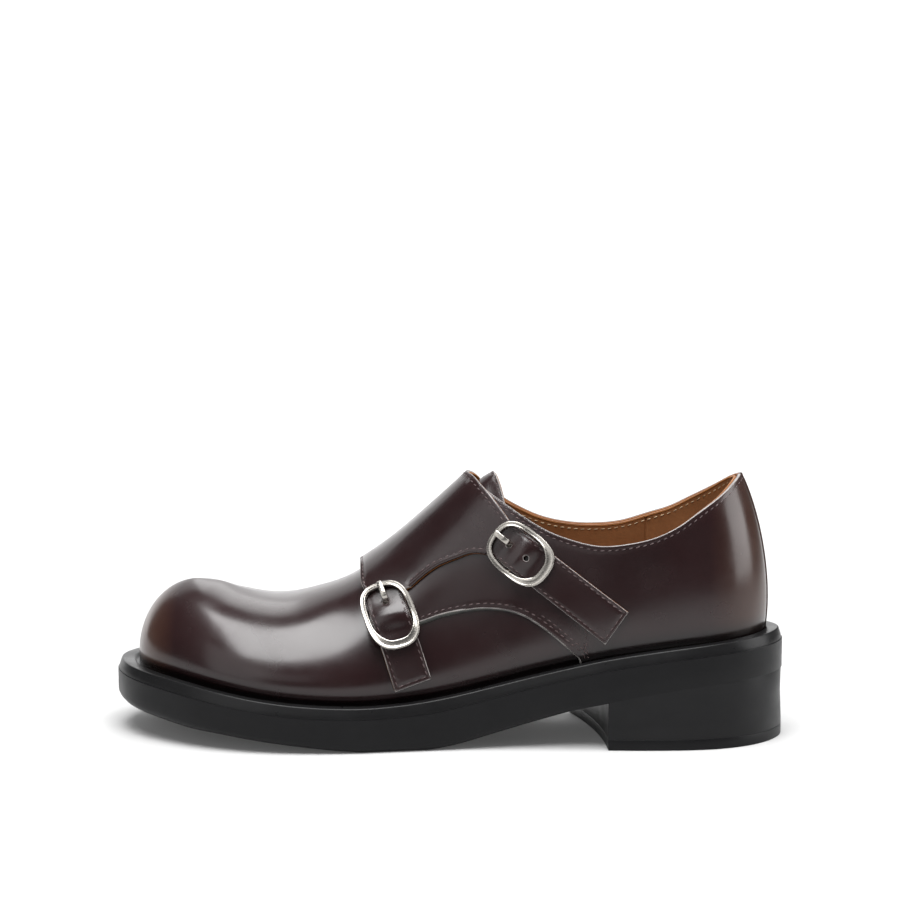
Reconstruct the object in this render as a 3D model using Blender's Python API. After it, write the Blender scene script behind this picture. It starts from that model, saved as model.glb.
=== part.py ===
"""Left shoe with two buckled straps over the instep, a rubber sole and a block heel.

The toe points to -X, the outer (lateral) side to -Y and the sole stands on z = 0.
Sizes in the tables and constants are millimetres; every mesh is made in metres.
"""

import math

import bmesh
import bpy
import numpy as np
from mathutils import Vector
from mathutils.geometry import delaunay_2d_cdt

MM = 0.001

# ---------------------------------------------------------------- driving sizes
TOE_X = -139.0
HEEL_X = 139.0
TOE_Y = 18.0
GAP = 0.3
SHEET_GAP = 0.4
TONGUE_GAP = 0.8

WALL = 1.6
QUARTER_THICK = 1.2
FLAP_THICK = 2.0
FLAP_LIFT = QUARTER_THICK + 2 * SHEET_GAP
TONGUE_THICK = 2.0
INSOLE_THICK = 3.0
TREAD_ROUND = 3.4
WELT_INSET = 1.6
SEAT_INSET = 9.0

# Outline of the outsole in plan: x, outer side y, inner side y.
OUTLINE = (
    (-137.4, 7.5, 28.0),
    (-133.0, -3.0, 37.5),
    (-125.0, -13.5, 46.5),
    (-115.0, -22.0, 53.0),
    (-103.0, -30.0, 57.8),
    (-90.0, -36.0, 60.3),
    (-70.0, -40.8, 60.8),
    (-50.0, -41.5, 57.0),
    (-30.0, -39.5, 50.5),
    (-10.0, -36.2, 43.8),
    (10.0, -33.8, 37.8),
    (30.0, -33.0, 34.2),
    (50.0, -33.6, 33.8),
    (70.0, -34.6, 34.8),
    (90.0, -34.6, 34.4),
    (105.0, -33.0, 32.2),
    (118.0, -28.6, 27.6),
    (129.0, -20.6, 19.8),
    (136.4, -10.0, 9.8),
)

# Side view of the sole: x, underside z, top of the outsole's side z, top of the welt z.
SIDE = (
    (-139.0, 12.6, 24.4, 28.7),
    (-130.0, 11.0, 23.8, 28.1),
    (-117.0, 9.2, 22.4, 26.9),
    (-105.0, 7.4, 20.8, 25.3),
    (-91.0, 6.2, 18.7, 23.2),
    (-79.0, 4.8, 17.0, 21.4),
    (-60.0, 2.6, 15.0, 19.3),
    (-46.0, 1.0, 14.2, 18.4),
    (-34.0, 0.0, 13.9, 18.1),
    (-21.0, 0.0, 14.3, 18.7),
    (-8.0, 0.0, 15.4, 20.1),
    (4.0, 1.9, 17.6, 22.2),
    (17.0, 5.6, 20.8, 25.2),
    (33.0, 10.4, 25.0, 29.2),
    (50.0, 15.4, 29.2, 33.4),
    (65.0, 19.4, 32.6, 36.8),
    (80.0, 22.6, 35.2, 39.3),
    (98.0, 25.4, 37.6, 41.7),
    (118.0, 27.4, 39.4, 43.6),
    (139.0, 28.4, 40.4, 45.0),
)

# Ridge and section shape of the last: x, ridge y, ridge z, outer roundness, inner roundness, slope.
# Roundness under 1 gives a fuller, squarer shoulder; slope over 1 gives a more pointed arch.
LAST = (
    (-101.0, 15.0, 62.0, 1.02, 1.02, 0.92),
    (-86.0, 14.5, 57.9, 0.90, 0.88, 0.96),
    (-70.0, 14.0, 55.6, 0.88, 0.86, 1.00),
    (-55.0, 13.5, 58.5, 0.92, 0.88, 1.04),
    (-40.0, 12.5, 64.1, 0.95, 0.90, 1.08),
    (-30.0, 12.0, 70.6, 0.96, 0.92, 1.10),
    (-20.0, 11.0, 78.0, 0.97, 0.93, 1.12),
    (-8.0, 9.5, 88.4, 0.98, 0.94, 1.14),
    (4.0, 8.0, 99.4, 0.99, 0.95, 1.15),
    (16.0, 7.0, 110.6, 1.00, 0.97, 1.12),
    (32.0, 5.0, 123.0, 1.00, 1.00, 1.05),
    (50.0, 3.0, 131.0, 0.96, 0.96, 1.00),
    (72.0, 1.0, 132.0, 0.94, 0.94, 0.96),
    (94.0, 0.0, 130.0, 1.00, 1.00, 0.94),
)
RIDGE_TOE_X = -101.0
TOE_FAN_X = -48.0
RIDGE_HEEL_X = 94.0
HEEL_FAN_X = 40.0

END_TURN = 0.22
# Spacing weight of v against the sole's length, so that rows are closer than stations.
GIRTH = 185.0
BACK_SEAM = 0.9985
FOOT_V = 0.015
UPPER_STATIONS = 37
UPPER_ROWS = 13

# How far the wall swells outward above the welt: x, swell, height of the widest place.
SWELL = (
    (-129.0, 0.2, 10.0),
    (-120.0, 1.4, 10.0),
    (-100.0, 2.2, 10.0),
    (-60.0, 2.4, 10.0),
    (0.0, 2.2, 10.0),
    (60.0, 2.0, 14.0),
    (100.0, 1.8, 20.0),
    (128.0, 1.2, 25.0),
)

# Edges drawn on the last as x and v: v is 0 at the welt on the outer side, 1 on the ridge
# and 2 at the welt on the inner side.
# Outer quarter: its front edge, an arch over the vamp, from the ridge down to the welt.
QUARTER_FRONT = (
    (-2.0, 0.93),
    (-17.0, 0.90),
    (-18.5, 0.62),
    (-17.0, 0.345),
    (-11.3, 0.329),
    (-2.1, 0.318),
    (10.5, 0.281),
    (22.7, 0.226),
    (31.2, 0.176),
    (39.3, 0.118),
    (45.8, 0.069),
    (53.0, 0.015),
)

# Inner quarter with its flap over the instep: front edge, from the welt on the inner side
# over the ridge to the lower strap.
FLAP_FRONT = (
    (53.0, 1.985),
    (45.0, 1.93),
    (36.0, 1.86),
    (24.0, 1.78),
    (10.0, 1.72),
    (-6.0, 1.67),
    (-20.0, 1.59),
    (-29.0, 1.48),
    (-34.0, 1.34),
    (-35.5, 1.20),
    (-34.7, 1.05),
    (-34.2, 0.92),
    (-34.0, 0.79),
    (-33.7, 0.69),
    (-32.4, 0.615),
)

# Lower edge of the flap, between its two straps.
FLAP_LOWER = (
    (-14.0, 0.508),
    (-10.4, 0.519),
    (-6.5, 0.526),
    (-2.8, 0.525),
    (0.8, 0.516),
    (5.0, 0.503),
    (9.4, 0.487),
    (12.6, 0.468),
    (15.8, 0.444),
)

# Rear edge of the flap, from the upper strap over the ridge to the inner collar.
FLAP_REAR = (
    (25.7, 0.505),
    (21.5, 0.595),
    (18.3, 0.672),
    (15.3, 0.756),
    (12.8, 0.860),
    (11.2, 0.950),
    (10.9, 1.020),
    (11.8, 1.100),
    (13.4, 1.180),
    (15.5, 1.270),
    (18.9, 1.360),
)

# Tongue: its edge, starting at the outer front corner.
TONGUE_EDGE = (
    (-26.0, 0.56),
    (-10.0, 0.53),
    (6.0, 0.50),
    (23.6, 0.52),
    (22.0, 0.62),
    (19.6, 0.73),
    (17.2, 0.86),
    (15.8, 1.00),
    (17.0, 1.14),
    (20.0, 1.28),
    (23.6, 1.44),
    (6.0, 1.48),
    (-10.0, 1.46),
    (-26.0, 1.42),
    (-30.0, 1.20),
    (-31.0, 1.00),
    (-30.0, 0.78),
)

# Straps: place of the buckle's middle and of the strap's end, x and v.
LOWER_STRAP = ((-22.8, 0.417), (-14.6, 0.088))
UPPER_STRAP = ((30.5, 0.364), (68.6, 0.074))
STRAP_WIDTH = 15.6
STRAP_DOME = 1.8
DOME_REACH = 7.5

# Buckle frame: half sizes outside, wire, and the wider bar on the side of the strap's end.
FRAME_LONG = 13.6
FRAME_WIDE = 10.6
FRAME_WIRE = 2.0
FRAME_BROAD = 3.6
FRAME_DIP = 2.0
DIP_REACH = 6.5
FRAME_SQUARENESS = 2.9
FRAME_STEPS = 28
BAR_RADIUS = 0.7
PRONG_RADIUS = 0.85
HOLE_RADIUS = 1.5
SPARE_HOLE_RADIUS = 1.2
PRONG_HOLE_AT = -6.3
SPARE_HOLE_AT = 2.6

# Heel: its slanted breast, hollowed by an arc.
BREAST_OUTER_X = 65.0
BREAST_INNER_X = 52.5
BREAST_HOLLOW = 2.6
TOP_LIFT_THICK = 4.4

# Top edge of the collar in side view: x, outer z, inner z.
THROAT_X = 5.0
THROAT_STATIONS = (5.0, 6.5, 8.5, 11.0, 14.0, 18.0)
COLLAR = (
    (5.0, 110.5, 111.0),
    (9.0, 107.0, 107.5),
    (13.5, 103.8, 103.4),
    (18.7, 100.6, 99.0),
    (22.8, 98.1, 95.8),
    (31.4, 92.6, 90.8),
    (40.0, 87.8, 87.1),
    (49.7, 84.2, 84.8),
    (62.9, 81.7, 83.9),
    (72.1, 82.5, 84.6),
    (85.8, 85.9, 88.6),
    (93.1, 89.4, 91.0),
    (102.0, 95.4, 95.8),
    (111.3, 101.6, 101.6),
    (117.6, 106.6, 106.6),
    (120.5, 108.6, 108.6),
    (130.0, 109.6, 109.6),
)


def hermite(xs, ys, x):
    """Smooth curve through (xs, ys), read at x; flat beyond its ends."""
    xs = np.asarray(xs, float)
    ys = np.asarray(ys, float)
    x = np.clip(np.asarray(x, float), xs[0], xs[-1])
    slopes = np.gradient(ys, xs)
    k = np.clip(np.searchsorted(xs, x, side="right") - 1, 0, len(xs) - 2)
    width = xs[k + 1] - xs[k]
    t = (x - xs[k]) / width
    start = (1 + 2 * t) * (1 - t) ** 2 * ys[k] + t * t * (3 - 2 * t) * ys[k + 1]
    bend = t * (1 - t) ** 2 * width * slopes[k] - t * t * (1 - t) * width * slopes[k + 1]
    return start + bend


def column(table, number):
    return [row[number] for row in table]


def read(table, number, x):
    return hermite(column(table, 0), column(table, number), x)


def underside(x):
    """Height of the outsole's underside. It is exactly flat under the ball."""
    height = read(SIDE, 1, x)
    flat = (np.asarray(x) >= -34.0) & (np.asarray(x) <= -8.0)
    return np.where(flat, 0.0, np.maximum(height, 0.0))


def outsole_top(x):
    return read(SIDE, 2, x)


def welt_top(x):
    return read(SIDE, 3, x)


# ---------------------------------------------------------------- outlines in plan
def closed_spline(points, count):
    """Periodic cubic through the points, read at count places evenly spread in its own length."""
    points = np.asarray(points, float)
    chord = np.linalg.norm(np.roll(points, -1, 0) - points, axis=1)
    number = len(points)
    matrix = np.zeros((number, number))
    right = np.zeros((number, 2))
    for i in range(number):
        before = chord[i - 1]
        after = chord[i]
        matrix[i, i - 1] = 1 / before
        matrix[i, i] = 2 * (1 / before + 1 / after)
        matrix[i, (i + 1) % number] = 1 / after
        right[i] = 3 * (
            (points[i] - points[i - 1]) / before**2
            + (points[(i + 1) % number] - points[i]) / after**2
        )
    slopes = np.linalg.solve(matrix, right)
    length = np.concatenate([[0], np.cumsum(chord)])
    where = np.linspace(0, length[-1], count, endpoint=False)
    k = np.searchsorted(length, where, side="right") - 1
    width = chord[k][:, None]
    t = ((where - length[k]) / chord[k])[:, None]
    following = (k + 1) % number
    curve = (1 + 2 * t) * (1 - t) ** 2 * points[k] + t * t * (3 - 2 * t) * points[following]
    return curve + width * t * (1 - t) * ((1 - t) * slopes[k] - t * slopes[following])


def outline_points():
    outer = [(row[0], row[1]) for row in OUTLINE]
    inner = [(row[0], row[2]) for row in reversed(OUTLINE)]
    return closed_spline([(TOE_X, TOE_Y), *outer, (HEEL_X, 0.0), *inner], 1440)


EDGE = outline_points()
# Brings the middle of the sole's width onto y = 0.
CENTRE_SHIFT = -(EDGE[:, 1].min() + EDGE[:, 1].max()) / 2


def inset_outline(inset):
    """The sole's outline moved inward by inset: (outer side, inner side), each from toe to heel."""
    ahead = np.roll(EDGE, -1, 0) - np.roll(EDGE, 1, 0)
    ahead /= np.linalg.norm(ahead, axis=1)[:, None]
    inward = np.stack([-ahead[:, 1], ahead[:, 0]], axis=1)
    moved = EDGE + inward * inset
    toe = int(np.argmin(moved[:, 0]))
    moved = np.roll(moved, -toe, 0)
    heel = int(np.argmax(moved[:, 0]))
    outer = moved[: heel + 1]
    inner = np.concatenate([moved[heel:], moved[:1]])[::-1]
    return outer, inner


def place(s):
    """Fraction of the length in X at station s: stations bunch quadratically where the ends turn."""
    s = np.asarray(s, float)
    rate = 1 / (1 - END_TURN)
    front = rate * s * s / (2 * END_TURN)
    middle = rate * (s - END_TURN / 2)
    back = 1 - rate * (1 - s) ** 2 / (2 * END_TURN)
    return np.where(s < END_TURN, front, np.where(s > 1 - END_TURN, back, middle))


def station(x, outline):
    """Station whose place along the outline is x."""
    dense = np.linspace(0, 1, 2001)
    toe = outline[0][0, 0]
    heel = outline[0][-1, 0]
    return np.interp(x, toe + (heel - toe) * place(dense), dense)


def edge_point(outline, side, s):
    """Plan point of an outline at station s; side is 0 for the outer side and 1 for the inner side."""
    toe = outline[0][0, 0]
    heel = outline[0][-1, 0]
    x = toe + (heel - toe) * place(s)
    outer = np.interp(x, outline[0][:, 0], outline[0][:, 1])
    inner = np.interp(x, outline[1][:, 0], outline[1][:, 1])
    return x, np.where(np.asarray(side) == 0, outer, inner)


# ---------------------------------------------------------------- the last-shaped wall
FEATHER = inset_outline(SEAT_INSET)


def ridge_x(x):
    """X of the ridge point above a point of the seat's outline: the strips fan round toe and heel."""
    toe = FEATHER[0][0, 0]
    heel = FEATHER[0][-1, 0]
    ratio = (TOE_FAN_X - toe) / (TOE_FAN_X - RIDGE_TOE_X)
    w = np.clip((TOE_FAN_X - x) / (TOE_FAN_X - toe), 0, 1)
    front = TOE_FAN_X - (TOE_FAN_X - RIDGE_TOE_X) * (ratio * w - (ratio - 1) * w * w)
    ratio = (heel - HEEL_FAN_X) / (RIDGE_HEEL_X - HEEL_FAN_X)
    w = np.clip((x - HEEL_FAN_X) / (heel - HEEL_FAN_X), 0, 1)
    back = HEEL_FAN_X + (RIDGE_HEEL_X - HEEL_FAN_X) * (ratio * w - (ratio - 1) * w * w)
    return np.where(x < TOE_FAN_X, front, np.where(x > HEEL_FAN_X, back, x))


def folded(side, s, t):
    """Brings a station past either tip, or a height past the ridge, onto the other side."""
    past = (s < 0) | (s > 1)
    side = np.where(past, 1 - side, side)
    s = np.where(s < 0, -s, np.where(s > 1, 2 - s, s))
    over = t > 1
    side = np.where(over, 1 - side, side)
    t = np.where(over, 2 - t, t)
    return side, s, np.maximum(t, 0)


def wall_point(side, s, t):
    """Point of the outer face of the wall at station s, with t from 0 at the welt to 1 at the ridge."""
    side, s, t = folded(*np.broadcast_arrays(side, s, t))
    x, foot_y = edge_point(FEATHER, side, s)
    small = 0.004
    x_next, y_next = edge_point(FEATHER, *folded(side, s + small, t)[:2])
    x_last, y_last = edge_point(FEATHER, *folded(side, s - small, t)[:2])
    turn = np.where(side == 0, 1.0, -1.0)
    size = np.hypot(x_next - x_last, y_next - y_last)
    out_x = turn * (y_next - y_last) / size
    out_y = -turn * (x_next - x_last) / size
    foot_z = welt_top(x) + GAP
    top_x = ridge_x(x)
    top_z = read(LAST, 2, top_x)
    roundness = np.where(side == 0, read(LAST, 3, top_x), read(LAST, 4, top_x))
    angle = t * math.pi / 2
    reach = 1 - np.maximum(np.cos(angle), 0) ** roundness
    rise = np.sin(angle) ** read(LAST, 5, top_x)
    height = (top_z - foot_z) * rise
    level = height / read(SWELL, 2, x)
    swell = read(SWELL, 1, x) * level * np.exp(1 - level) * (1 - t**4)
    return np.stack(
        [
            x + (top_x - x) * reach + out_x * swell,
            foot_y + (read(LAST, 1, top_x) - foot_y) * reach + out_y * swell,
            foot_z + height,
        ],
        axis=-1,
    )


def skin(side, s, t, offset=0.0):
    """Point at a distance outside the wall's outer face."""
    side, s, t, offset = np.broadcast_arrays(side, s, t, np.asarray(offset, float))
    step = 0.003
    # The ridge is one point at each tip, so the direction there is read just below it.
    beside = np.where(t > 1, np.maximum(t, 1.03), np.minimum(t, 0.97))
    near = np.where((s < step) | (s > 1 - step), beside, t)
    along = wall_point(side, s + step, near) - wall_point(side, s - step, near)
    up = wall_point(side, s, near + step) - wall_point(side, s, np.maximum(near - step, 0))
    normal = np.cross(along, up)
    normal = np.where((side == 0)[..., None], normal, -normal)
    normal /= np.linalg.norm(normal, axis=-1, keepdims=True)
    return wall_point(side, s, t) + normal * offset[..., None]


def height_at(side, s, z_of_x, offset=0.0):
    """t where the wall at station s reaches the height z_of_x(x); 1 where it never does."""
    s = np.asarray(s, float)
    low = np.zeros_like(s)
    high = np.ones_like(s)
    for _ in range(30):
        middle = (low + high) / 2
        point = skin(side, s, middle, offset)
        under = point[..., 2] < z_of_x(point[..., 0])
        low = np.where(under, middle, low)
        high = np.where(under, high, middle)
    return (low + high) / 2


def collar_t(side, s):
    """t of the collar's edge at station s; 1 in front of the throat."""
    t = height_at(side, s, lambda x: read(COLLAR, 1 + side, x))
    x, _ = edge_point(FEATHER, side, s)
    return np.where((x <= THROAT_X) | (t > 0.995), 1.0, t)


# ---------------------------------------------------------------- meshes
def material(name, colour, roughness, metallic=0.0):
    made = bpy.data.materials.new(name)
    made.use_nodes = True
    shader = made.node_tree.nodes["Principled BSDF"]
    shader.inputs["Base Color"].default_value = (*colour, 1.0)
    shader.inputs["Roughness"].default_value = roughness
    shader.inputs["Metallic"].default_value = metallic
    made.diffuse_color = (*colour, 1.0)
    return made


def add_object(name, points, faces, finish):
    """One object from points in millimetres, welded where points meet, with its faces turned outward."""
    mesh = bpy.data.meshes.new(name)
    points = np.asarray(points, float) + (0.0, CENTRE_SHIFT, 0.0)
    mesh.from_pydata([tuple(p) for p in points * MM], [], faces)
    work = bmesh.new()
    work.from_mesh(mesh)
    bmesh.ops.remove_doubles(work, verts=work.verts, dist=2e-6)
    bmesh.ops.dissolve_degenerate(work, edges=work.edges, dist=1e-6)
    bmesh.ops.recalc_face_normals(work, faces=work.faces)
    work.to_mesh(mesh)
    work.free()
    mesh.shade_smooth()
    mesh.set_sharp_from_angle(angle=math.radians(40))
    mesh.materials.append(finish)
    made = bpy.data.objects.new(name, mesh)
    bpy.data.collections["double_monk_shoe"].objects.link(made)
    return made


def sweep(rings, first_cap=True):
    """Points and faces of a tube through rings of points; it closes on itself without caps."""
    count = len(rings)
    number = len(rings[0])
    points = np.concatenate(rings)
    faces = []
    for i in range(count - 1 if first_cap else count):
        after = (i + 1) % count
        for j in range(number):
            k = (j + 1) % number
            faces.append((i * number + j, i * number + k, after * number + k, after * number + j))
    if first_cap:
        faces.append(tuple(range(number)))
        faces.append(tuple(range(number * (count - 1), number * count)))
    return points, faces


def closed_sheet(name, outer, inner, faces, finish):
    """Closed body between an outer and an inner copy of one sheet of faces."""
    keys = [tuple(p) for p in np.round(outer, 3)]
    first = {}
    for index, key in enumerate(keys):
        first.setdefault(key, index)
    kept = []
    for face in faces:
        welded = list(dict.fromkeys(first[keys[index]] for index in face))
        if len(welded) > 2:
            kept.append(tuple(welded))
    number = len(outer)
    sides = {(a, b) for face in kept for a, b in zip(face, face[1:] + face[:1])}
    joined = kept + [tuple(number + index for index in reversed(face)) for face in kept]
    for a, b in sorted(sides):
        if (b, a) not in sides:
            joined.append((b, a, number + a, number + b))
    used = sorted({index for face in joined for index in face})
    renumber = {old: new for new, old in enumerate(used)}
    joined = [tuple(renumber[index] for index in face) for face in joined]
    return add_object(name, np.concatenate([outer, inner])[used], joined, finish)


def grid_faces(rows, columns, start=0, flip=False):
    """Quads over a grid of rows x columns points, numbered row by row from start."""
    faces = []
    for i in range(rows - 1):
        for j in range(columns - 1):
            a = start + i * columns + j
            quad = (a, a + 1, a + columns + 1, a + columns)
            faces.append(quad[::-1] if flip else quad)
    return faces


def border(rows, columns):
    """Indices round the edge of a grid, in order."""
    first = [j for j in range(columns)]
    right = [i * columns + columns - 1 for i in range(1, rows)]
    last = [(rows - 1) * columns + j for j in range(columns - 2, -1, -1)]
    left = [i * columns for i in range(rows - 2, 0, -1)]
    return first + right + last + left


def stacked_solid(name, levels, finish):
    """Closed solid from grids of points, lowest first: its ends are the first and last grids."""
    rows, columns = levels[0].shape[:2]
    points = np.concatenate([level.reshape(-1, 3) for level in levels])
    size = rows * columns
    faces = grid_faces(rows, columns, 0, flip=True)
    faces += grid_faces(rows, columns, size * (len(levels) - 1))
    loop = border(rows, columns)
    for k in range(len(levels) - 1):
        for n in range(len(loop)):
            a = loop[n]
            b = loop[(n + 1) % len(loop)]
            faces.append((k * size + a, k * size + b, (k + 1) * size + b, (k + 1) * size + a))
    used = sorted({index for face in faces for index in face})
    renumber = {old: new for new, old in enumerate(used)}
    faces = [tuple(renumber[index] for index in face) for face in faces]
    return add_object(name, points[used], faces, finish)


def plan_grid(inset, z_of_x, stations, columns):
    """Grid over the whole sole's outline, moved inward by inset, at heights z_of_x."""
    outline = inset_outline(inset)
    x, outer = edge_point(outline, 0, stations)
    _, inner = edge_point(outline, 1, stations)
    across = np.linspace(0, 1, columns)
    y = outer[:, None] + (inner - outer)[:, None] * across
    x = np.repeat(x[:, None], columns, axis=1)
    return np.stack([x, y, z_of_x(x)], axis=-1)


def heel_grid(inset, z_of_x, rows, columns):
    """Grid over the heel's plan, from its slanted hollow breast to the back of the seat."""
    outline = inset_outline(inset)
    across = np.linspace(0, 1, columns)
    front = BREAST_OUTER_X + (BREAST_INNER_X - BREAST_OUTER_X) * across
    front = front + BREAST_HOLLOW * 4 * across * (1 - across)
    first = station(front, outline)
    ahead = np.linspace(0, 1, rows)[:, None]
    s = first + (1 - first) * ahead
    x, outer = edge_point(outline, 0, s)
    _, inner = edge_point(outline, 1, s)
    y = outer + (inner - outer) * across
    return np.stack([x, y, z_of_x(x)], axis=-1)


# ---------------------------------------------------------------- sole
def build_outsole(rubber):
    stations = np.linspace(0, 1, 45)
    small = TREAD_ROUND * 0.3
    levels = [
        plan_grid(TREAD_ROUND + 0.6, underside, stations, 3),
        plan_grid(small + 0.6, lambda x: underside(x) + small, stations, 3),
        plan_grid(0.0, lambda x: underside(x) + TREAD_ROUND, stations, 3),
        plan_grid(0.3, lambda x: outsole_top(x) - 0.8, stations, 3),
        plan_grid(1.0, outsole_top, stations, 3),
    ]
    return stacked_solid("outsole", levels, rubber)


def build_heel(rubber):
    levels = [
        heel_grid(0.0, lambda x: np.full_like(x, TOP_LIFT_THICK + GAP), 16, 5),
        heel_grid(1.1, lambda x: underside(x) - GAP, 16, 5),
    ]
    return stacked_solid("heel", levels, rubber)


def build_top_lift(rubber):
    levels = [
        heel_grid(0.6, lambda x: np.zeros_like(x), 16, 5),
        heel_grid(0.0, lambda x: np.full_like(x, 0.7), 16, 5),
        heel_grid(0.0, lambda x: np.full_like(x, TOP_LIFT_THICK), 16, 5),
    ]
    return stacked_solid("top_lift", levels, rubber)


def build_welt(rubber):
    stations = np.linspace(0, 1, 45)
    bottom = lambda x: outsole_top(x) + GAP
    levels = [
        plan_grid(1.9, bottom, stations, 3),
        plan_grid(WELT_INSET, lambda x: welt_top(x) - 0.8, stations, 3),
        plan_grid(WELT_INSET + 0.8, welt_top, stations, 3),
    ]
    return stacked_solid("welt", levels, rubber)


def build_insole(leather):
    stations = np.linspace(0, 1, 37)
    inset = SEAT_INSET + WALL + GAP
    levels = [
        plan_grid(inset, lambda x: welt_top(x) + GAP, stations, 3),
        plan_grid(inset, lambda x: welt_top(x) + GAP + INSOLE_THICK - 0.6, stations, 3),
        plan_grid(inset + 0.6, lambda x: welt_top(x) + GAP + INSOLE_THICK, stations, 3),
    ]
    return stacked_solid("insole", levels, leather)


# ---------------------------------------------------------------- upper
def build_upper(leather):
    at_throat = station(np.array(THROAT_STATIONS), FEATHER)
    stations = np.unique(np.concatenate([np.linspace(0, 1, UPPER_STATIONS), at_throat]))
    heights = np.linspace(0, 1, UPPER_ROWS)
    outer = []
    inner = []
    faces = []
    for side in (0, 1):
        top = collar_t(side, stations)
        s = np.repeat(stations[:, None], UPPER_ROWS, axis=1)
        t = top[:, None] * heights
        faces += grid_faces(len(stations), UPPER_ROWS, len(outer), flip=side == 1)
        outer.extend(skin(side, s, t).reshape(-1, 3))
        inner.extend(skin(side, s, t, -WALL).reshape(-1, 3))
    return closed_sheet("upper", np.array(outer), np.array(inner), faces, leather)


# ---------------------------------------------------------------- sheets draped on the last
def inside(points, edge):
    """True for the points that lie inside a closed edge."""
    x = points[:, 0][:, None]
    y = points[:, 1][:, None]
    x0 = edge[:, 0]
    y0 = edge[:, 1]
    x1 = np.roll(x0, -1)
    y1 = np.roll(y0, -1)
    rise = np.where(y1 == y0, 1e-9, y1 - y0)
    crosses = ((y0 > y) != (y1 > y)) & (x < x0 + (y - y0) * (x1 - x0) / rise)
    return crosses.sum(axis=1) % 2 == 1


def spread_edge(corners, spacing):
    """Closed edge with a point at every corner and others no further apart than spacing."""
    out = []
    for i in range(len(corners)):
        first = corners[i]
        last = corners[(i + 1) % len(corners)]
        count = max(1, math.ceil(np.linalg.norm(last - first) / spacing))
        out += [first + (last - first) * k / count for k in range(count)]
    return np.array(out)


def draped_solid(name, edge, inner_offset, thickness, spacing, finish, fine=None):
    """Closed sheet over the last, from its edge in (station, v).

    inner_offset(s, v) is the height of its underside and fine holds extra places inside it.
    """
    scale = np.array([HEEL_X - TOE_X, GIRTH])
    border_points = spread_edge(np.asarray(edge, float) * scale, spacing)
    low = border_points.min(axis=0)
    high = border_points.max(axis=0)
    across, up = np.meshgrid(
        np.arange(low[0] + spacing / 2, high[0], spacing),
        np.arange(low[1] + spacing / 2, high[1], spacing),
        indexing="ij",
    )
    middle = np.stack([across.ravel(), up.ravel()], axis=1)
    middle = middle[inside(middle, border_points)]
    kept = border_points
    if fine is not None:
        kept = np.concatenate([border_points, fine * scale])
    apart = np.linalg.norm(middle[:, None] - kept[None], axis=2).min(axis=1)
    middle = np.concatenate([kept[len(border_points) :], middle[apart > spacing * 0.55]])
    places = [Vector(p) for p in np.concatenate([border_points, middle])]
    found = delaunay_2d_cdt(places, [], [list(range(len(border_points)))], 1, 1e-4)
    plane = np.array([tuple(p) for p in found[0]]) / scale
    triangles = [tuple(face) for face in found[2]]
    s = np.clip(plane[:, 0], 0, 1)
    v = plane[:, 1]
    below = inner_offset(s, v)
    outer = skin(0, s, v, below + thickness)
    return closed_sheet(name, outer, skin(0, s, v, below), triangles, finish)


def drawn(table):
    """Rows of x and v turned into stations and v."""
    return [(float(station(x, FEATHER)), v) for x, v in table]


def collar_line(side, first_x, last_s, count):
    """The collar's edge on one side as stations and v, from first_x to the back."""
    s = np.linspace(float(station(first_x, FEATHER)), last_s, count)
    t = collar_t(side, s)
    return [(a, b if side == 0 else 2 - b) for a, b in zip(s, t)]


def smooth(low, high, value):
    """0 below low, 1 above high and a soft step between."""
    t = np.clip((value - low) / (high - low), 0, 1)
    return t * t * (3 - 2 * t)


def on_outer(x, z):
    """Station and v where the outer side of the wall shows at x and z in side view."""
    s = station(x, FEATHER)
    return s, height_at(0, s, lambda _: z)


class StrapLine:
    """A strap that runs straight in side view: sizes along and across it, from its buckle."""

    def __init__(self, middle, end):
        first = skin(0, station(middle[0], FEATHER), middle[1])[[0, 2]]
        last = skin(0, station(end[0], FEATHER), end[1])[[0, 2]]
        part = np.linspace(-0.7, 1.2, 96)
        self.flat = first + (last - first) * part[:, None]
        s, v = on_outer(self.flat[:, 0], self.flat[:, 1])
        self.axis = skin(0, s, v)
        length = np.linalg.norm(np.diff(self.axis, axis=0), axis=1)
        self.along = np.concatenate([[0], np.cumsum(length)])
        self.along -= np.interp(0.0, part, self.along)
        self.length = float(np.interp(1.0, part, self.along))
        ahead = np.gradient(self.axis, axis=0)
        ahead /= np.linalg.norm(ahead, axis=1)[:, None]
        self.across = np.cross(skin(0, s, v, 1.0) - self.axis, ahead)

    def at(self, columns, along):
        return np.stack([np.interp(along, self.along, column) for column in columns.T], axis=-1)

    def place(self, along, across):
        """Station and v of a place given along and across the strap."""
        sideways = self.at(self.across, along) * np.asarray(across)[..., None]
        spot = self.at(self.flat, along) + sideways[..., [0, 2]]
        s, v = on_outer(spot[..., 0], spot[..., 1])
        return np.stack([s, v], axis=-1)

    def local(self, s, v):
        """Distances along and across the strap, of a station and v."""
        apart = np.linalg.norm(skin(0, s, v)[..., None, :] - self.axis, axis=-1)
        return self.along[apart.argmin(axis=-1)], apart.min(axis=-1)

    def point(self, along, across, offset):
        spot = self.place(along, across)
        return skin(0, spot[..., 0], spot[..., 1], offset)


LOWER = StrapLine(*LOWER_STRAP)
UPPER = StrapLine(*UPPER_STRAP)


def dome(line, s, v):
    """How far the strap rises over the buckle's middle bar."""
    along, across = line.local(s, v)
    rise = np.clip(1 - (along / DOME_REACH) ** 2, 0, 1) ** 2
    return STRAP_DOME * rise * (np.abs(across) < STRAP_WIDTH)


def quarter_offset(s, v):
    return np.full_like(v, SHEET_GAP)


def tongue_offset(s, v):
    return np.full_like(v, -(WALL + TONGUE_GAP + TONGUE_THICK))


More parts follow.
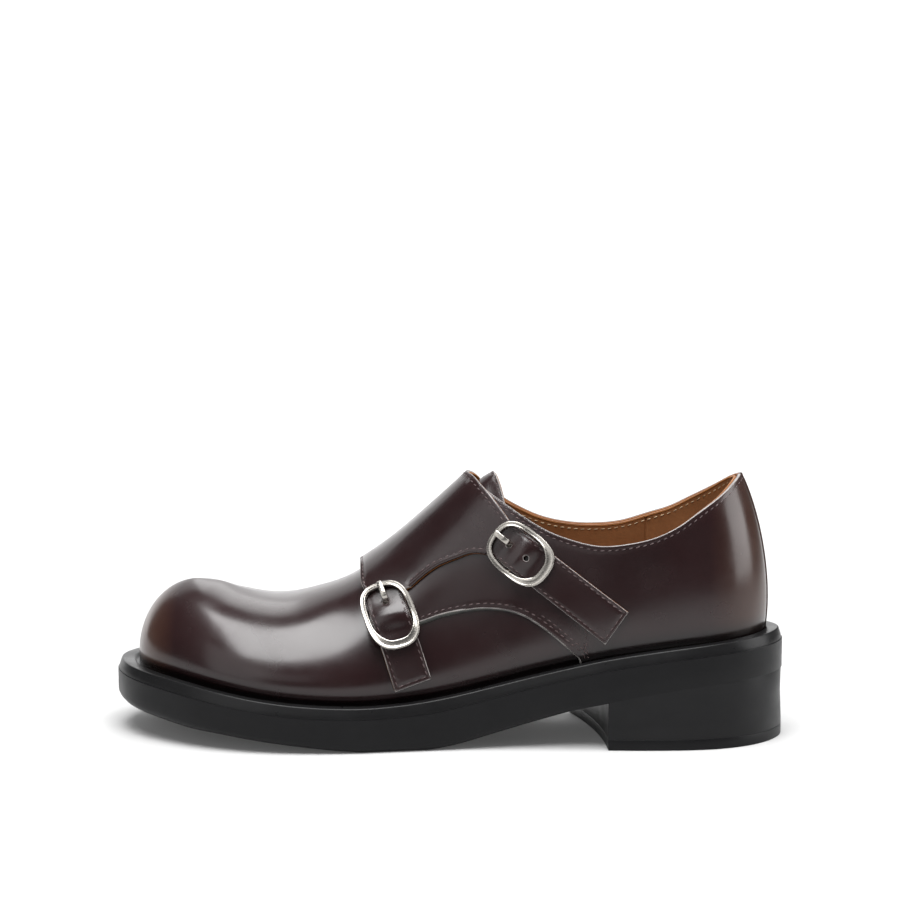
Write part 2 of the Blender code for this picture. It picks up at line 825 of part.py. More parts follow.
def flap_offset(s, v):
    """Height of the flap's underside: it rides over the outer quarter and domes in the buckles."""
    on_inner = smooth(1.02, 1.32, v)
    on_vamp = (1 - smooth(0.12, 0.30, v)) * (s < float(station(THROAT_X, FEATHER)))
    low = np.maximum(on_inner, on_vamp)
    base = FLAP_LIFT + (SHEET_GAP - FLAP_LIFT) * low
    return base + dome(LOWER, s, v) + dome(UPPER, s, v)


def build_lateral_quarter(leather):
    front = drawn(QUARTER_FRONT)
    back = [(BACK_SEAM, v) for v in (FOOT_V, 0.12, 0.24, 0.36)]
    foot = [(s, FOOT_V) for s in np.linspace(front[-1][0], BACK_SEAM, 14)[1:-1]]
    collar = collar_line(0, THROAT_X + 1.5, BACK_SEAM, 22)
    edge = front + foot + back + collar[::-1]
    return draped_solid("lateral_quarter", edge, quarter_offset, QUARTER_THICK, 9.0, leather)


def strap_edge(line, start_lower, start_upper):
    """Places round a strap's free end, from one edge of the flap to the other."""
    half = STRAP_WIDTH / 2
    steps = 6
    first = line.place(np.linspace(start_lower, line.length, steps), half)
    second = line.place(np.linspace(line.length, start_upper, steps), -half)
    return [tuple(spot) for spot in np.concatenate([first, second])]


def build_flap(leather):
    """Inner quarter, its flap over the instep and the two straps, cut from one piece."""
    collar = collar_line(1, 23.1, BACK_SEAM, 20)
    back = [(BACK_SEAM, v) for v in (1.64, 1.76, 1.88, 2.0 - FOOT_V)]
    front = drawn(FLAP_FRONT)
    foot = [(s, 2.0 - FOOT_V) for s in np.linspace(BACK_SEAM, front[0][0], 14)[1:-1]]
    lower = strap_edge(LOWER, -9.0, -11.5)
    upper = strap_edge(UPPER, -11.0, -8.0)
    edge = front + lower[::-1] + drawn(FLAP_LOWER) + upper[::-1] + drawn(FLAP_REAR)
    edge += collar + back + foot
    along, across = np.meshgrid(np.linspace(-6.0, 6.0, 5), (-4.5, 0.0, 4.5))
    fine = np.concatenate([line.place(along.ravel(), across.ravel()) for line in (LOWER, UPPER)])
    made = draped_solid(
        "medial_quarter_flap", edge, flap_offset, FLAP_THICK, 9.0, leather, fine
    )
    cut_hole(made, "lower_prong_hole", LOWER, PRONG_HOLE_AT, HOLE_RADIUS)
    cut_hole(made, "upper_prong_hole", UPPER, PRONG_HOLE_AT, HOLE_RADIUS)
    cut_hole(made, "spare_hole", UPPER, SPARE_HOLE_AT, SPARE_HOLE_RADIUS)
    return made


def build_tongue(leather):
    edge = drawn(TONGUE_EDGE)
    return draped_solid("tongue", edge, tongue_offset, TONGUE_THICK, 8.0, leather)


# ---------------------------------------------------------------- buckles
def helper(obj):
    """Keeps a cutting or joining body out of the finished shoe."""
    obj.hide_render = True
    obj.display_type = "WIRE"
    bpy.data.collections["double_monk_shoe"].objects.unlink(obj)
    bpy.data.collections["helpers"].objects.link(obj)
    return obj


def combine(obj, other, operation):
    step = obj.modifiers.new(other.name, "BOOLEAN")
    step.object = other
    step.operation = operation
    step.solver = "EXACT"


def rod(name, points, radius, sides, finish):
    """Round bar through a few points, with flat ends."""
    points = np.asarray(points, float)
    ahead = np.gradient(points, axis=0)
    ahead /= np.linalg.norm(ahead, axis=1)[:, None]
    across = np.cross(ahead[0], (0.3, -0.8, 0.52))
    across /= np.linalg.norm(across)
    rings = []
    for centre, along in zip(points, ahead):
        first = across - along * (across @ along)
        first /= np.linalg.norm(first)
        second = np.cross(along, first)
        turn = np.arange(sides) * 2 * math.pi / sides
        rings.append(
            centre
            + radius * np.cos(turn)[:, None] * first
            + radius * np.sin(turn)[:, None] * second
        )
    corners, faces = sweep(rings)
    return add_object(name, corners, faces, finish)


def cut_hole(obj, name, line, along, radius):
    heights = np.linspace(0.6, FLAP_LIFT + FLAP_THICK + STRAP_DOME + 2.0, 3)
    spots = line.point(np.full(3, along), np.zeros(3), heights)
    cutter = helper(rod(name, spots, radius, 14, obj.data.materials[0]))
    combine(obj, cutter, "DIFFERENCE")


def frame_height(along):
    """Offset of the frame's wire: it dips between its ends to meet the middle bar."""
    over = FLAP_LIFT + FLAP_THICK + 2 * GAP + FRAME_WIRE / 2
    return over - FRAME_DIP * np.clip(1 - (along / DIP_REACH) ** 2, 0, 1) ** 2


def build_frame(name, line, steel):
    """Rounded buckle frame over the strap, with a middle bar under it."""
    turn = np.arange(FRAME_STEPS) * 2 * math.pi / FRAME_STEPS
    broad = smooth(0.0, 0.9, np.cos(turn))
    width = FRAME_WIRE + (FRAME_BROAD - FRAME_WIRE) * broad
    power = 2 / FRAME_SQUARENESS
    along = (FRAME_LONG - width / 2) * np.sign(np.cos(turn)) * np.abs(np.cos(turn)) ** power
    across = (FRAME_WIDE - width / 2) * np.sign(np.sin(turn)) * np.abs(np.sin(turn)) ** power
    centres = line.point(along, across, frame_height(along))
    outer = line.point(along, across, frame_height(along) + 1.0)
    ahead = np.roll(centres, -1, 0) - np.roll(centres, 1, 0)
    rings = []
    section = np.arange(8) * 2 * math.pi / 8 + math.pi / 8
    for centre, up, forward, wide in zip(centres, outer - centres, ahead, width):
        side = np.cross(forward, up)
        side /= np.linalg.norm(side)
        up = np.cross(side, forward)
        up /= np.linalg.norm(up)
        rings.append(
            centre
            + 0.54 * wide * np.cos(section)[:, None] * side
            + 0.54 * FRAME_WIRE * np.sin(section)[:, None] * up
        )
    corners, faces = sweep(rings, first_cap=False)
    made = add_object(name, corners, faces, steel)
    bar_offset = FLAP_LIFT + STRAP_DOME - GAP - BAR_RADIUS
    reach = FRAME_WIDE - FRAME_WIRE / 2
    spots = line.point(np.zeros(3), np.linspace(-reach, reach, 3), bar_offset)
    bar = helper(rod(name + "_bar", spots, BAR_RADIUS, 8, steel))
    combine(made, bar, "UNION")
    return made


def build_prong(name, line, steel):
    """Prong through the strap's hole, resting over the end of the frame."""
    over = FLAP_LIFT + FLAP_THICK + 3 * GAP + FRAME_WIRE + PRONG_RADIUS
    at = PRONG_HOLE_AT
    path = (
        (at, QUARTER_THICK + 2 * SHEET_GAP + 0.1),
        (at, FLAP_LIFT + FLAP_THICK + 0.6),
        (at - 0.5, over - 0.7),
        (at - 1.6, over - 0.05),
        (at - 3.0, over + 0.1),
        (-FRAME_LONG + 1.5, over + 0.1),
        (-FRAME_LONG + 0.4, over - 0.2),
    )
    along, height = np.array(path).T
    return rod(name, line.point(along, 0.0 * along, height), PRONG_RADIUS, 8, steel)


def main():
    for obj in list(bpy.data.objects):
        bpy.data.objects.remove(obj, do_unlink=True)
    for name in ("double_monk_shoe", "helpers"):
        group = bpy.data.collections.new(name)
        bpy.context.scene.collection.children.link(group)
    rubber = material("black_rubber", (0.016, 0.016, 0.018), 0.55)
    leather = material("burgundy_leather", (0.03, 0.012, 0.013), 0.25)
    tan = material("tan_leather", (0.42, 0.22, 0.09), 0.6)
    steel = material("satin_steel", (0.72, 0.71, 0.69), 0.3, 1.0)
    build_outsole(rubber)
    build_heel(rubber)
    build_top_lift(rubber)
    build_welt(rubber)
    build_insole(tan)
    build_upper(leather)
    build_tongue(leather)
    build_lateral_quarter(leather)
    build_flap(leather)
    build_frame("lower_buckle_frame", LOWER, steel)
    build_frame("upper_buckle_frame", UPPER, steel)
    build_prong("lower_buckle_prong", LOWER, steel)
    build_prong("upper_buckle_prong", UPPER, steel)


main()
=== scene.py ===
"""Looks of a left shoe with two buckled straps over the instep, a rubber sole and a block heel.

Every visible piece is a finer copy of its CAD solid, on the same last-shaped surface.
The toe points to -X, the outer side to -Y and the sole stands on z = 0.
Sizes are millimetres; every mesh is made in metres.
"""

import math

import bmesh
import bpy
import numpy as np
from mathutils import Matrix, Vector
from mathutils.geometry import delaunay_2d_cdt
from mathutils.kdtree import KDTree


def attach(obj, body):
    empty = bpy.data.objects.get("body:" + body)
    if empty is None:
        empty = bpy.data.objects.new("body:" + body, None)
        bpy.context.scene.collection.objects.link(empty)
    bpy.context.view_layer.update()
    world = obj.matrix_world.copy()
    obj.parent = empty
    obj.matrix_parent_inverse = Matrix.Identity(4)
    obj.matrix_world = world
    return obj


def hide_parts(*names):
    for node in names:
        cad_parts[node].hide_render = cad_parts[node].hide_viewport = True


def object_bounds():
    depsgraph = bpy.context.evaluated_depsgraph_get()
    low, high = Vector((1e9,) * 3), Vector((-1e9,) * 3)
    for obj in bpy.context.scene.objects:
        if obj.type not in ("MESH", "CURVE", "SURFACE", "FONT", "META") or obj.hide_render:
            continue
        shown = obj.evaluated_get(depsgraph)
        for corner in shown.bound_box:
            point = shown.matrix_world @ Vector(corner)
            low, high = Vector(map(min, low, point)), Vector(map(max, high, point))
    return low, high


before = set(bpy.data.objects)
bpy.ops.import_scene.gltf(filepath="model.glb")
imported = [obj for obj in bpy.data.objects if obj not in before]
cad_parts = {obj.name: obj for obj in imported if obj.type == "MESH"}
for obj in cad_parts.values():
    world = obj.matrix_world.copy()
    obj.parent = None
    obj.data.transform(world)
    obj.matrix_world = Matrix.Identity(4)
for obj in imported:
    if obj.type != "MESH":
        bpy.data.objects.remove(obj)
cad_low, cad_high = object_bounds()

MM = 0.001

# ---- driving sizes
TOE_X, HEEL_X = -139, 139
TOE_Y = 18
GAP = 0.3
SHEET_GAP = 0.4
TONGUE_GAP = 0.8

WALL = 1.6
QUARTER_THICK = 1.2
FLAP_THICK = 2.0
FLAP_LIFT = QUARTER_THICK + 2 * SHEET_GAP
TONGUE_THICK = 2.0
INSOLE_THICK = 3.0
TREAD_ROUND = 3.4
WELT_INSET = 1.6
SEAT_INSET = 9.0

# Outline of the outsole in plan: x, outer side y, inner side y.
OUTLINE = (
    (-137.4, 7.5, 28), (-133, -3, 37.5), (-125, -13.5, 46.5), (-115, -22, 53),
    (-103, -30, 57.8), (-90, -36, 60.3), (-70, -40.8, 60.8), (-50, -41.5, 57),
    (-30, -39.5, 50.5), (-10, -36.2, 43.8), (10, -33.8, 37.8), (30, -33, 34.2),
    (50, -33.6, 33.8), (70, -34.6, 34.8), (90, -34.6, 34.4), (105, -33, 32.2),
    (118, -28.6, 27.6), (129, -20.6, 19.8), (136.4, -10, 9.8),
)

# Side view of the sole: x, underside z, top of the outsole's side z, top of the welt z.
SIDE = (
    (-139, 12.6, 24.4, 28.7), (-130, 11, 23.8, 28.1), (-117, 9.2, 22.4, 26.9),
    (-105, 7.4, 20.8, 25.3), (-91, 6.2, 18.7, 23.2), (-79, 4.8, 17, 21.4),
    (-60, 2.6, 15, 19.3), (-46, 1, 14.2, 18.4), (-34, 0, 13.9, 18.1), (-21, 0, 14.3, 18.7),
    (-8, 0, 15.4, 20.1), (4, 1.9, 17.6, 22.2), (17, 5.6, 20.8, 25.2), (33, 10.4, 25, 29.2),
    (50, 15.4, 29.2, 33.4), (65, 19.4, 32.6, 36.8), (80, 22.6, 35.2, 39.3),
    (98, 25.4, 37.6, 41.7), (118, 27.4, 39.4, 43.6), (139, 28.4, 40.4, 45),
)
FLAT_FROM, FLAT_TO = -34, -8

# Ridge and section shape of the last: x, ridge y, ridge z, outer roundness, inner roundness, slope.
# Roundness under 1 gives a fuller, squarer shoulder; slope over 1 gives a more pointed arch.
LAST = (
    (-104, 15, 62.1, 1.02, 1.02, 0.92), (-95, 14.8, 61, 0.95, 0.94, 0.94),
    (-86, 14.5, 58.1, 0.9, 0.88, 0.96), (-70, 14, 55.6, 0.88, 0.86, 1),
    (-55, 13.5, 58.5, 0.92, 0.88, 1.04), (-40, 12.5, 64.1, 0.95, 0.9, 1.08),
    (-30, 12, 70.6, 0.96, 0.92, 1.1), (-20, 11, 78, 0.97, 0.93, 1.12),
    (-8, 9.5, 88.4, 0.98, 0.94, 1.14), (4, 8, 99.4, 0.99, 0.95, 1.15),
    (16, 7, 110.6, 1, 0.97, 1.12), (32, 5, 123, 1, 1, 1.05), (50, 3, 131, 0.96, 0.96, 1),
    (72, 1, 132, 0.94, 0.94, 0.96), (94, 0, 130, 1, 1, 0.94),
)
# Where the strips over the last begin to fan round the toe and the heel, in plan and on the ridge.
TOE_FAN_X, RIDGE_TOE_X = -48, -104
HEEL_FAN_X, RIDGE_HEEL_X = 40, 94

# Share of the length at either end where the stations bunch.
END_TURN = 0.22
# Spacing weight of v against the sole's length, so that rows are closer than stations.
GIRTH = 185
# Millimetres that one station and one unit of v take on the leather, roughly.
SPREAD = np.array([HEEL_X - TOE_X, GIRTH], float)
BACK_SEAM = 0.9985
FOOT_V = -0.045
FOOT_DROP = 30

# How far the wall swells outward above the welt: x, swell, height of the widest place.
SWELL = (
    (-129, 0.2, 10), (-120, 1.4, 10), (-100, 2.2, 10), (-60, 2.4, 10),
    (0, 2.2, 10), (60, 2, 14), (100, 1.8, 20), (128, 1.2, 25),
)

# Spacing of the points along a drawn edge, and along a strap or the tongue.
EDGE_STEP, STRAP_STEP = 0.9, 0.8

# Edges drawn on the last as x and v: v is 0 at the welt on the outer side, 1 on the ridge
# and 2 at the welt on the inner side.
# Outer quarter: its front edge, an arch over the vamp, from the ridge down to the welt.
QUARTER_FRONT = (
    (-2, 0.93), (-17, 0.9), (-18.5, 0.62), (-17, 0.345), (-11.3, 0.329), (-2.1, 0.318),
    (10.5, 0.281), (22.7, 0.226), (31.2, 0.176), (39.3, 0.118), (45.8, 0.069), (53, 0.015),
)

# Inner quarter with its flap over the instep: front edge, from the welt on the inner side
# over the ridge to the lower strap.
FLAP_FRONT = (
    (53, 1.985), (45, 1.93), (36, 1.86), (24, 1.78), (10, 1.72), (-6, 1.67), (-20, 1.59),
    (-29, 1.48), (-34, 1.34), (-35.5, 1.2), (-34.7, 1.05), (-34.2, 0.92), (-34, 0.79),
    (-33.7, 0.69), (-32.4, 0.615),
)

# Lower edge of the flap, between its two straps.
FLAP_LOWER = (
    (-14, 0.508), (-10.4, 0.519), (-6.5, 0.526), (-2.8, 0.525), (0.8, 0.516),
    (5, 0.503), (9.4, 0.487), (12.6, 0.468), (15.8, 0.444),
)

# Rear edge of the flap, from the upper strap over the ridge to the inner collar.
FLAP_REAR = (
    (25.7, 0.505), (21.5, 0.595), (18.3, 0.672), (15.3, 0.756), (12.8, 0.86), (11.2, 0.95),
    (10.9, 1.02), (11.8, 1.1), (13.4, 1.18), (15.5, 1.27), (18.9, 1.36),
)
FLAP_COLLAR_X = 23.1

# Tongue: its edge, starting at the outer front corner.
TONGUE_EDGE = (
    (-26, 0.56), (-10, 0.53), (6, 0.5), (23.6, 0.52), (22, 0.62), (19.9, 0.73), (17.8, 0.86),
    (16.9, 1), (17.8, 1.14), (20.4, 1.28), (23.6, 1.44), (6, 1.48), (-10, 1.46),
    (-26, 1.42), (-30, 1.2), (-31, 1), (-30, 0.78),
)
# Its free end bends down towards the foot, by this much between these places.
TONGUE_DIP, TONGUE_BENDS = 1.2, (12, 18)

# Straps: place of the buckle's middle and of the strap's end, x and v, and where the strap's
# lower and upper edges leave the flap, from the buckle's middle.
LOWER_STRAP = ((-22.8, 0.417), (-14.6, 0.088))
UPPER_STRAP = ((30.5, 0.364), (68.6, 0.074))
LOWER_STARTS, UPPER_STARTS = (-9, -11.5), (-11, -8)
STRAP_WIDTH = 15.6
STRAP_DOME = 2.2
DOME_REACH = 7.2

# Buckle frame: half sizes outside, wire, and the wider bar on the side of the strap's end.
FRAME_LONG, FRAME_WIDE = 13.6, 10.6
FRAME_WIRE, FRAME_BROAD = 2.0, 3.6
FRAME_DIP, DIP_REACH = 1.3, 9
FRAME_SQUARENESS = 2.9
BAR_RADIUS = 0.7
BAR_RISE = 0.8
# Section of the frame's band: reach outward and height, as parts of its half sizes.
FRAME_SECTION = (
    (1, -0.1), (0.99, 0.3), (0.95, 0.66), (0.87, 0.9), (0.76, 1), (0.64, 0.99), (0.52, 0.92),
    (0.4, 0.85), (0.22, 0.8), (0, 0.78), (-0.22, 0.79), (-0.4, 0.82), (-0.52, 0.87),
    (-0.64, 0.93), (-0.76, 0.94), (-0.87, 0.84), (-0.95, 0.6), (-0.99, 0.25), (-1, -0.12),
    (-0.96, -0.5), (-0.8, -0.82), (-0.45, -0.98), (0, -1), (0.45, -0.98), (0.8, -0.82),
    (0.96, -0.48),
)
PRONG_THIN, PRONG_BROAD = 0.6, 1.12
PRONG_ASIDE = 0.45
PRONG_HOLE_AT, HOLE_RADIUS = -6.3, 1.25
SPARE_HOLE_AT, SPARE_HOLE_RADIUS = 2.6, 1.1

# Heel: its slanted breast, hollowed by an arc.
BREAST_OUTER_X, BREAST_INNER_X = 65, 52.5
BREAST_HOLLOW = 2.6
TOP_LIFT_THICK = 4.4

# Top edge of the collar in side view: x, outer z, inner z.
THROAT_X = 5
COLLAR = (
    (5, 110.5, 111), (9, 107, 107.5), (13.5, 103.8, 103.4), (18.7, 100.6, 99),
    (22.8, 98.1, 95.8), (31.4, 92.6, 90.8), (40, 87.8, 87.1), (49.7, 84.2, 84.8),
    (62.9, 81.7, 83.9), (72.1, 82.5, 84.6), (85.8, 85.9, 88.6), (93.1, 89.4, 91),
    (102, 95.4, 95.8), (111.3, 101.6, 101.6), (117.6, 106.6, 106.6), (120.5, 108.6, 108.6),
    (130, 109.6, 109.6),
)


# ---- curves and lines
def cubic(t, width, first, last, slope, last_slope):
    """Curve from first to last over a width, with a slope at either end, read at a share t."""
    curve = (1 + 2 * t) * (1 - t) ** 2 * first + t * t * (3 - 2 * t) * last
    return curve + width * t * (1 - t) * ((1 - t) * slope - t * last_slope)


def hermite(xs, ys, x):
    """Smooth curve through (xs, ys), read at x; flat beyond its ends."""
    xs, ys = np.asarray(xs, float), np.asarray(ys, float)
    x = np.clip(np.asarray(x, float), xs[0], xs[-1])
    slopes = np.gradient(ys, xs)
    k = np.clip(np.searchsorted(xs, x, side="right") - 1, 0, len(xs) - 2)
    width = xs[k + 1] - xs[k]
    return cubic((x - xs[k]) / width, width, ys[k], ys[k + 1], slopes[k], slopes[k + 1])


def read(table, number, x):
    """A column of a table as a smooth curve over its first column, read at x."""
    return hermite([row[0] for row in table], [row[number] for row in table], x)


def underside(x):
    """Height of the outsole's underside. It is exactly flat under the ball."""
    flat = (np.asarray(x) >= FLAT_FROM) & (np.asarray(x) <= FLAT_TO)
    return np.where(flat, 0.0, np.maximum(read(SIDE, 1, x), 0.0))


def outsole_top(x):
    return read(SIDE, 2, x)


def welt_top(x):
    return read(SIDE, 3, x)


def smooth(low, high, value):
    """0 below low, 1 above high and a soft step between."""
    t = np.clip((value - low) / (high - low), 0, 1)
    return t * t * (3 - 2 * t)


def unit(vectors):
    return vectors / np.linalg.norm(vectors, axis=-1, keepdims=True)


def steps_along(points, closed):
    """Direction along a line at each of its points."""
    if closed:
        return np.roll(points, -1, 0) - np.roll(points, 1, 0)
    return np.gradient(points, axis=0)


def walked(points):
    """Length along a line of points, from its first point."""
    return np.concatenate([[0], np.cumsum(np.linalg.norm(np.diff(points, axis=0), axis=1))])


def read_along(where, length, rows):
    """Rows of values given at lengths along a line, read at other lengths."""
    return np.stack([np.interp(where, length, column) for column in rows.T], axis=-1)


def even_loop(rows, step=None, count=None, width=3):
    """Closed rows of values spread evenly along their first columns."""
    rows = np.concatenate([rows, rows[:1]])
    length = walked(rows[:, :width])
    if count:
        return read_along(np.linspace(0, length[-1], count, endpoint=False), length, rows)
    return read_along(np.arange(0, length[-1], step), length, rows)


# ---- outlines in plan
def closed_spline(points, count):
    """Periodic cubic through the points, read at count places evenly spread in its own length."""
    points = np.asarray(points, float)
    chord = np.linalg.norm(np.roll(points, -1, 0) - points, axis=1)
    number = len(points)
    matrix = np.zeros((number, number))
    right = np.zeros((number, 2))
    for i in range(number):
        before, after, following = chord[i - 1], chord[i], (i + 1) % number
        matrix[i, i - 1] = 1 / before
        matrix[i, i] = 2 * (1 / before + 1 / after)
        matrix[i, following] = 1 / after
        pull = (points[i] - points[i - 1]) / before**2
        right[i] = 3 * (pull + (points[following] - points[i]) / after**2)
    slopes = np.linalg.solve(matrix, right)
    length = np.concatenate([[0], np.cumsum(chord)])
    where = np.linspace(0, length[-1], count, endpoint=False)
    k = np.searchsorted(length, where, side="right") - 1
    width = chord[k][:, None]
    following = (k + 1) % number
    t = (where - length[k])[:, None] / width
    return cubic(t, width, points[k], points[following], slopes[k], slopes[following])


EDGE = closed_spline(
    [(TOE_X, TOE_Y), *((x, y) for x, y, _ in OUTLINE)]
    + [(HEEL_X, 0), *((x, y) for x, _, y in reversed(OUTLINE))],
    1440,
)
# Brings the middle of the sole's width onto y = 0.
CENTRE_SHIFT = -(EDGE[:, 1].min() + EDGE[:, 1].max()) / 2


def inset_outline(inset):
    """The sole's outline moved inward by inset: (outer side, inner side), each from toe to heel."""
    ahead = unit(steps_along(EDGE, closed=True))
    moved = EDGE + np.stack([-ahead[:, 1], ahead[:, 0]], axis=1) * inset
    moved = np.roll(moved, -int(np.argmin(moved[:, 0])), 0)
    heel = int(np.argmax(moved[:, 0]))
    return moved[: heel + 1], np.concatenate([moved[heel:], moved[:1]])[::-1]


# Outline of the wall's foot.
FEATHER = inset_outline(SEAT_INSET)


def place(s, outline):
    """X at station s along an outline: the stations bunch quadratically where the ends turn."""
    s = np.asarray(s, float)
    rate = 1 / (1 - END_TURN)
    front = rate * s * s / (2 * END_TURN)
    middle = rate * (s - END_TURN / 2)
    back = 1 - rate * (1 - s) ** 2 / (2 * END_TURN)
    share = np.where(s < END_TURN, front, np.where(s > 1 - END_TURN, back, middle))
    toe, heel = outline[0][[0, -1], 0]
    return toe + (heel - toe) * share


def station(x, outline=FEATHER):
    """Station whose place along the outline is x."""
    dense = np.linspace(0, 1, 2001)
    return np.interp(x, place(dense, outline), dense)


def edge_point(outline, side, s):
    """Plan point of an outline at station s; side is 0 for the outer and 1 for the inner side."""
    x = place(s, outline)
    outer, inner = (np.interp(x, *half.T) for half in outline)
    return x, np.where(np.asarray(side) == 0, outer, inner)


# ---- the last-shaped wall
def fanned(x, fan, tip, ridge_tip):
    """X on the ridge above plan x, where the strips fan from their start to a tip."""
    ratio = (tip - fan) / (ridge_tip - fan)
    w = np.clip((x - fan) / (tip - fan), 0, 1)
    return fan + (ridge_tip - fan) * (ratio * w - (ratio - 1) * w * w)


def ridge_x(x):
    """X of the ridge point above a point of the seat's outline."""
    toe, heel = FEATHER[0][[0, -1], 0]
    front = fanned(x, TOE_FAN_X, toe, RIDGE_TOE_X)
    back = fanned(x, HEEL_FAN_X, heel, RIDGE_HEEL_X)
    return np.where(x < TOE_FAN_X, front, np.where(x > HEEL_FAN_X, back, x))


def folded(side, s, t):
    """Brings a station past either tip, or a height past the ridge, onto the other side."""
    side = np.where((s < 0) | (s > 1), 1 - side, side)
    s = np.where(s < 0, -s, np.where(s > 1, 2 - s, s))
    over = t > 1
    return np.where(over, 1 - side, side), s, np.maximum(np.where(over, 2 - t, t), 0)


def wall_point(side, s, t):
    """Point of the wall's outer face at station s, with t from 0 at the welt to 1 at the ridge."""
    side, s, t = folded(*np.broadcast_arrays(side, s, t))
    x, foot_y = edge_point(FEATHER, side, s)
    small = 0.004
    x_next, y_next = edge_point(FEATHER, *folded(side, s + small, t)[:2])
    x_last, y_last = edge_point(FEATHER, *folded(side, s - small, t)[:2])
    turn = np.where(side == 0, 1.0, -1.0)
    size = np.hypot(x_next - x_last, y_next - y_last)
    out_x = turn * (y_next - y_last) / size
    out_y = -turn * (x_next - x_last) / size
    foot_z = welt_top(x) + GAP
    top_x = ridge_x(x)
    roundness = np.where(side == 0, read(LAST, 3, top_x), read(LAST, 4, top_x))
    angle = t * math.pi / 2
    reach = 1 - np.maximum(np.cos(angle), 0) ** roundness
    height = (read(LAST, 2, top_x) - foot_z) * np.sin(angle) ** read(LAST, 5, top_x)
    level = height / read(SWELL, 2, x)
    swell = read(SWELL, 1, x) * level * np.exp(1 - level) * (1 - t**4)
    point_x = x + (top_x - x) * reach + out_x * swell
    point_y = foot_y + (read(LAST, 1, top_x) - foot_y) * reach + out_y * swell
    return np.stack([point_x, point_y, foot_z + height], axis=-1)


def skin(side, s, t, offset=0.0):
    """Point at a distance outside the wall's outer face; past the welt it goes straight down."""
    side, s, t, offset = np.broadcast_arrays(side, s, t, np.asarray(offset, float))
    past_foot = np.minimum(np.minimum(t, 2 - t), 0)
    t = np.clip(t, 0, 2)
    step = 0.003
    # The ridge is one point at each tip, so the direction there is read just below it.
    beside = np.where(t > 1, np.maximum(t, 1.03), np.minimum(t, 0.97))
    near = np.where((s < step) | (s > 1 - step), beside, t)
    along = wall_point(side, s + step, near) - wall_point(side, s - step, near)
    up = wall_point(side, s, near + step) - wall_point(side, s, np.maximum(near - step, 0))
    normal = np.cross(along, up)
    normal = unit(np.where((side == 0)[..., None], normal, -normal))
    sunk = past_foot[..., None] * np.array([0, 0, FOOT_DROP])
    return wall_point(side, s, t) + normal * offset[..., None] + sunk


def height_at(side, s, z_of_x):
    """t where the wall at station s reaches the height z_of_x(x); 1 where it never does."""
    low, high = np.zeros(np.shape(s)), np.ones(np.shape(s))
    for _ in range(30):
        middle = (low + high) / 2
        point = skin(side, s, middle)
        under = point[..., 2] < z_of_x(point[..., 0])
        low, high = np.where(under, middle, low), np.where(under, high, middle)
    return (low + high) / 2


def collar_t(side, s):
    """t of the collar's edge at station s; 1 in front of the throat."""
    t = height_at(side, s, lambda x: read(COLLAR, 1 + side, x))
    return np.where((edge_point(FEATHER, side, s)[0] <= THROAT_X) | (t > 0.995), 1.0, t)


def on_last(places, offset=0.0):
    """Points over places given as station and v."""
    places = np.asarray(places, float)
    return skin(0, places[..., 0], places[..., 1], offset)


def on_outer(x, z):
    """Place where the outer side of the wall shows at x and z in side view."""
    s = station(x)
    return np.stack([s, height_at(0, s, lambda _: z)], axis=-1)


class StrapLine:
    """A strap that runs straight in side view: sizes along and across it, from its buckle."""

    def __init__(self, middle, end):
        first, last = (skin(0, station(x), v)[[0, 2]] for x, v in (middle, end))
        part = np.linspace(-0.7, 1.2, 96)
        self.flat = first + (last - first) * part[:, None]
        places = on_outer(*self.flat.T)
        self.axis = on_last(places)
        self.along = walked(self.axis)
        self.along -= np.interp(0.0, part, self.along)
        self.length = float(np.interp(1.0, part, self.along))
        self.ahead = unit(np.gradient(self.axis, axis=0))
        self.across = np.cross(on_last(places, 1.0) - self.axis, self.ahead)

    def place(self, along, across):
        """Station and v of a place given along and across the strap."""
        sideways = read_along(along, self.along, self.across) * np.asarray(across)[..., None]
        spot = read_along(along, self.along, self.flat) + sideways[..., [0, 2]]
        return on_outer(spot[..., 0], spot[..., 1])

    def local(self, s, v):
        """Distances along and across the strap, of a station and v."""
        spots = skin(0, s, v)
        nearest = np.empty(len(spots), int)
        for k in range(0, len(spots), 2000):
            part = slice(k, k + 2000)
            nearest[part] = np.linalg.norm(spots[part, None] - self.axis, axis=-1).argmin(axis=-1)
        reach = spots - self.axis[nearest]
        beyond = (reach * self.ahead[nearest]).sum(axis=-1)
        return self.along[nearest] + beyond, (reach * self.across[nearest]).sum(axis=-1)

    def point(self, along, across, offset):
        return on_last(self.place(along, across), offset)


LOWER = StrapLine(*LOWER_STRAP)
UPPER = StrapLine(*UPPER_STRAP)


def dome(line, s, v):
    """How far the strap rises over the buckle's middle bar."""
    along, across = line.local(s, v)
    rise = np.clip(1 - (along / DOME_REACH) ** 2, 0, 1) ** 2
    rise = rise * (1 - 0.5 * (2 * across / STRAP_WIDTH) ** 2)
    return STRAP_DOME * rise * (np.abs(across) < 0.75 * STRAP_WIDTH) * (v < 1)


# ---- soft shape of the leather
# Shallow troughs across the leather: first and last place (x, v), depth, half width.
TROUGHS = (
    ((-62, 1.1), (-50, 0.45), 0.16, 7), ((-74, 1.15), (-66, 0.5), 0.1, 8),
    ((-60, 1.2), (-54, 1.8), 0.14, 7), ((20, 0.3), (44, 0.55), 0.14, 6),
    ((60, 0.1), (96, 0.34), 0.16, 9), ((74, 0.55), (118, 0.4), 0.12, 8),
    ((-20, 0.8), (8, 0.66), 0.14, 7), ((-14, 1.02), (4, 0.9), 0.1, 6),
    ((30, 1.62), (70, 1.48), 0.16, 8), ((-16, 1.36), (14, 1.6), 0.14, 8),
)


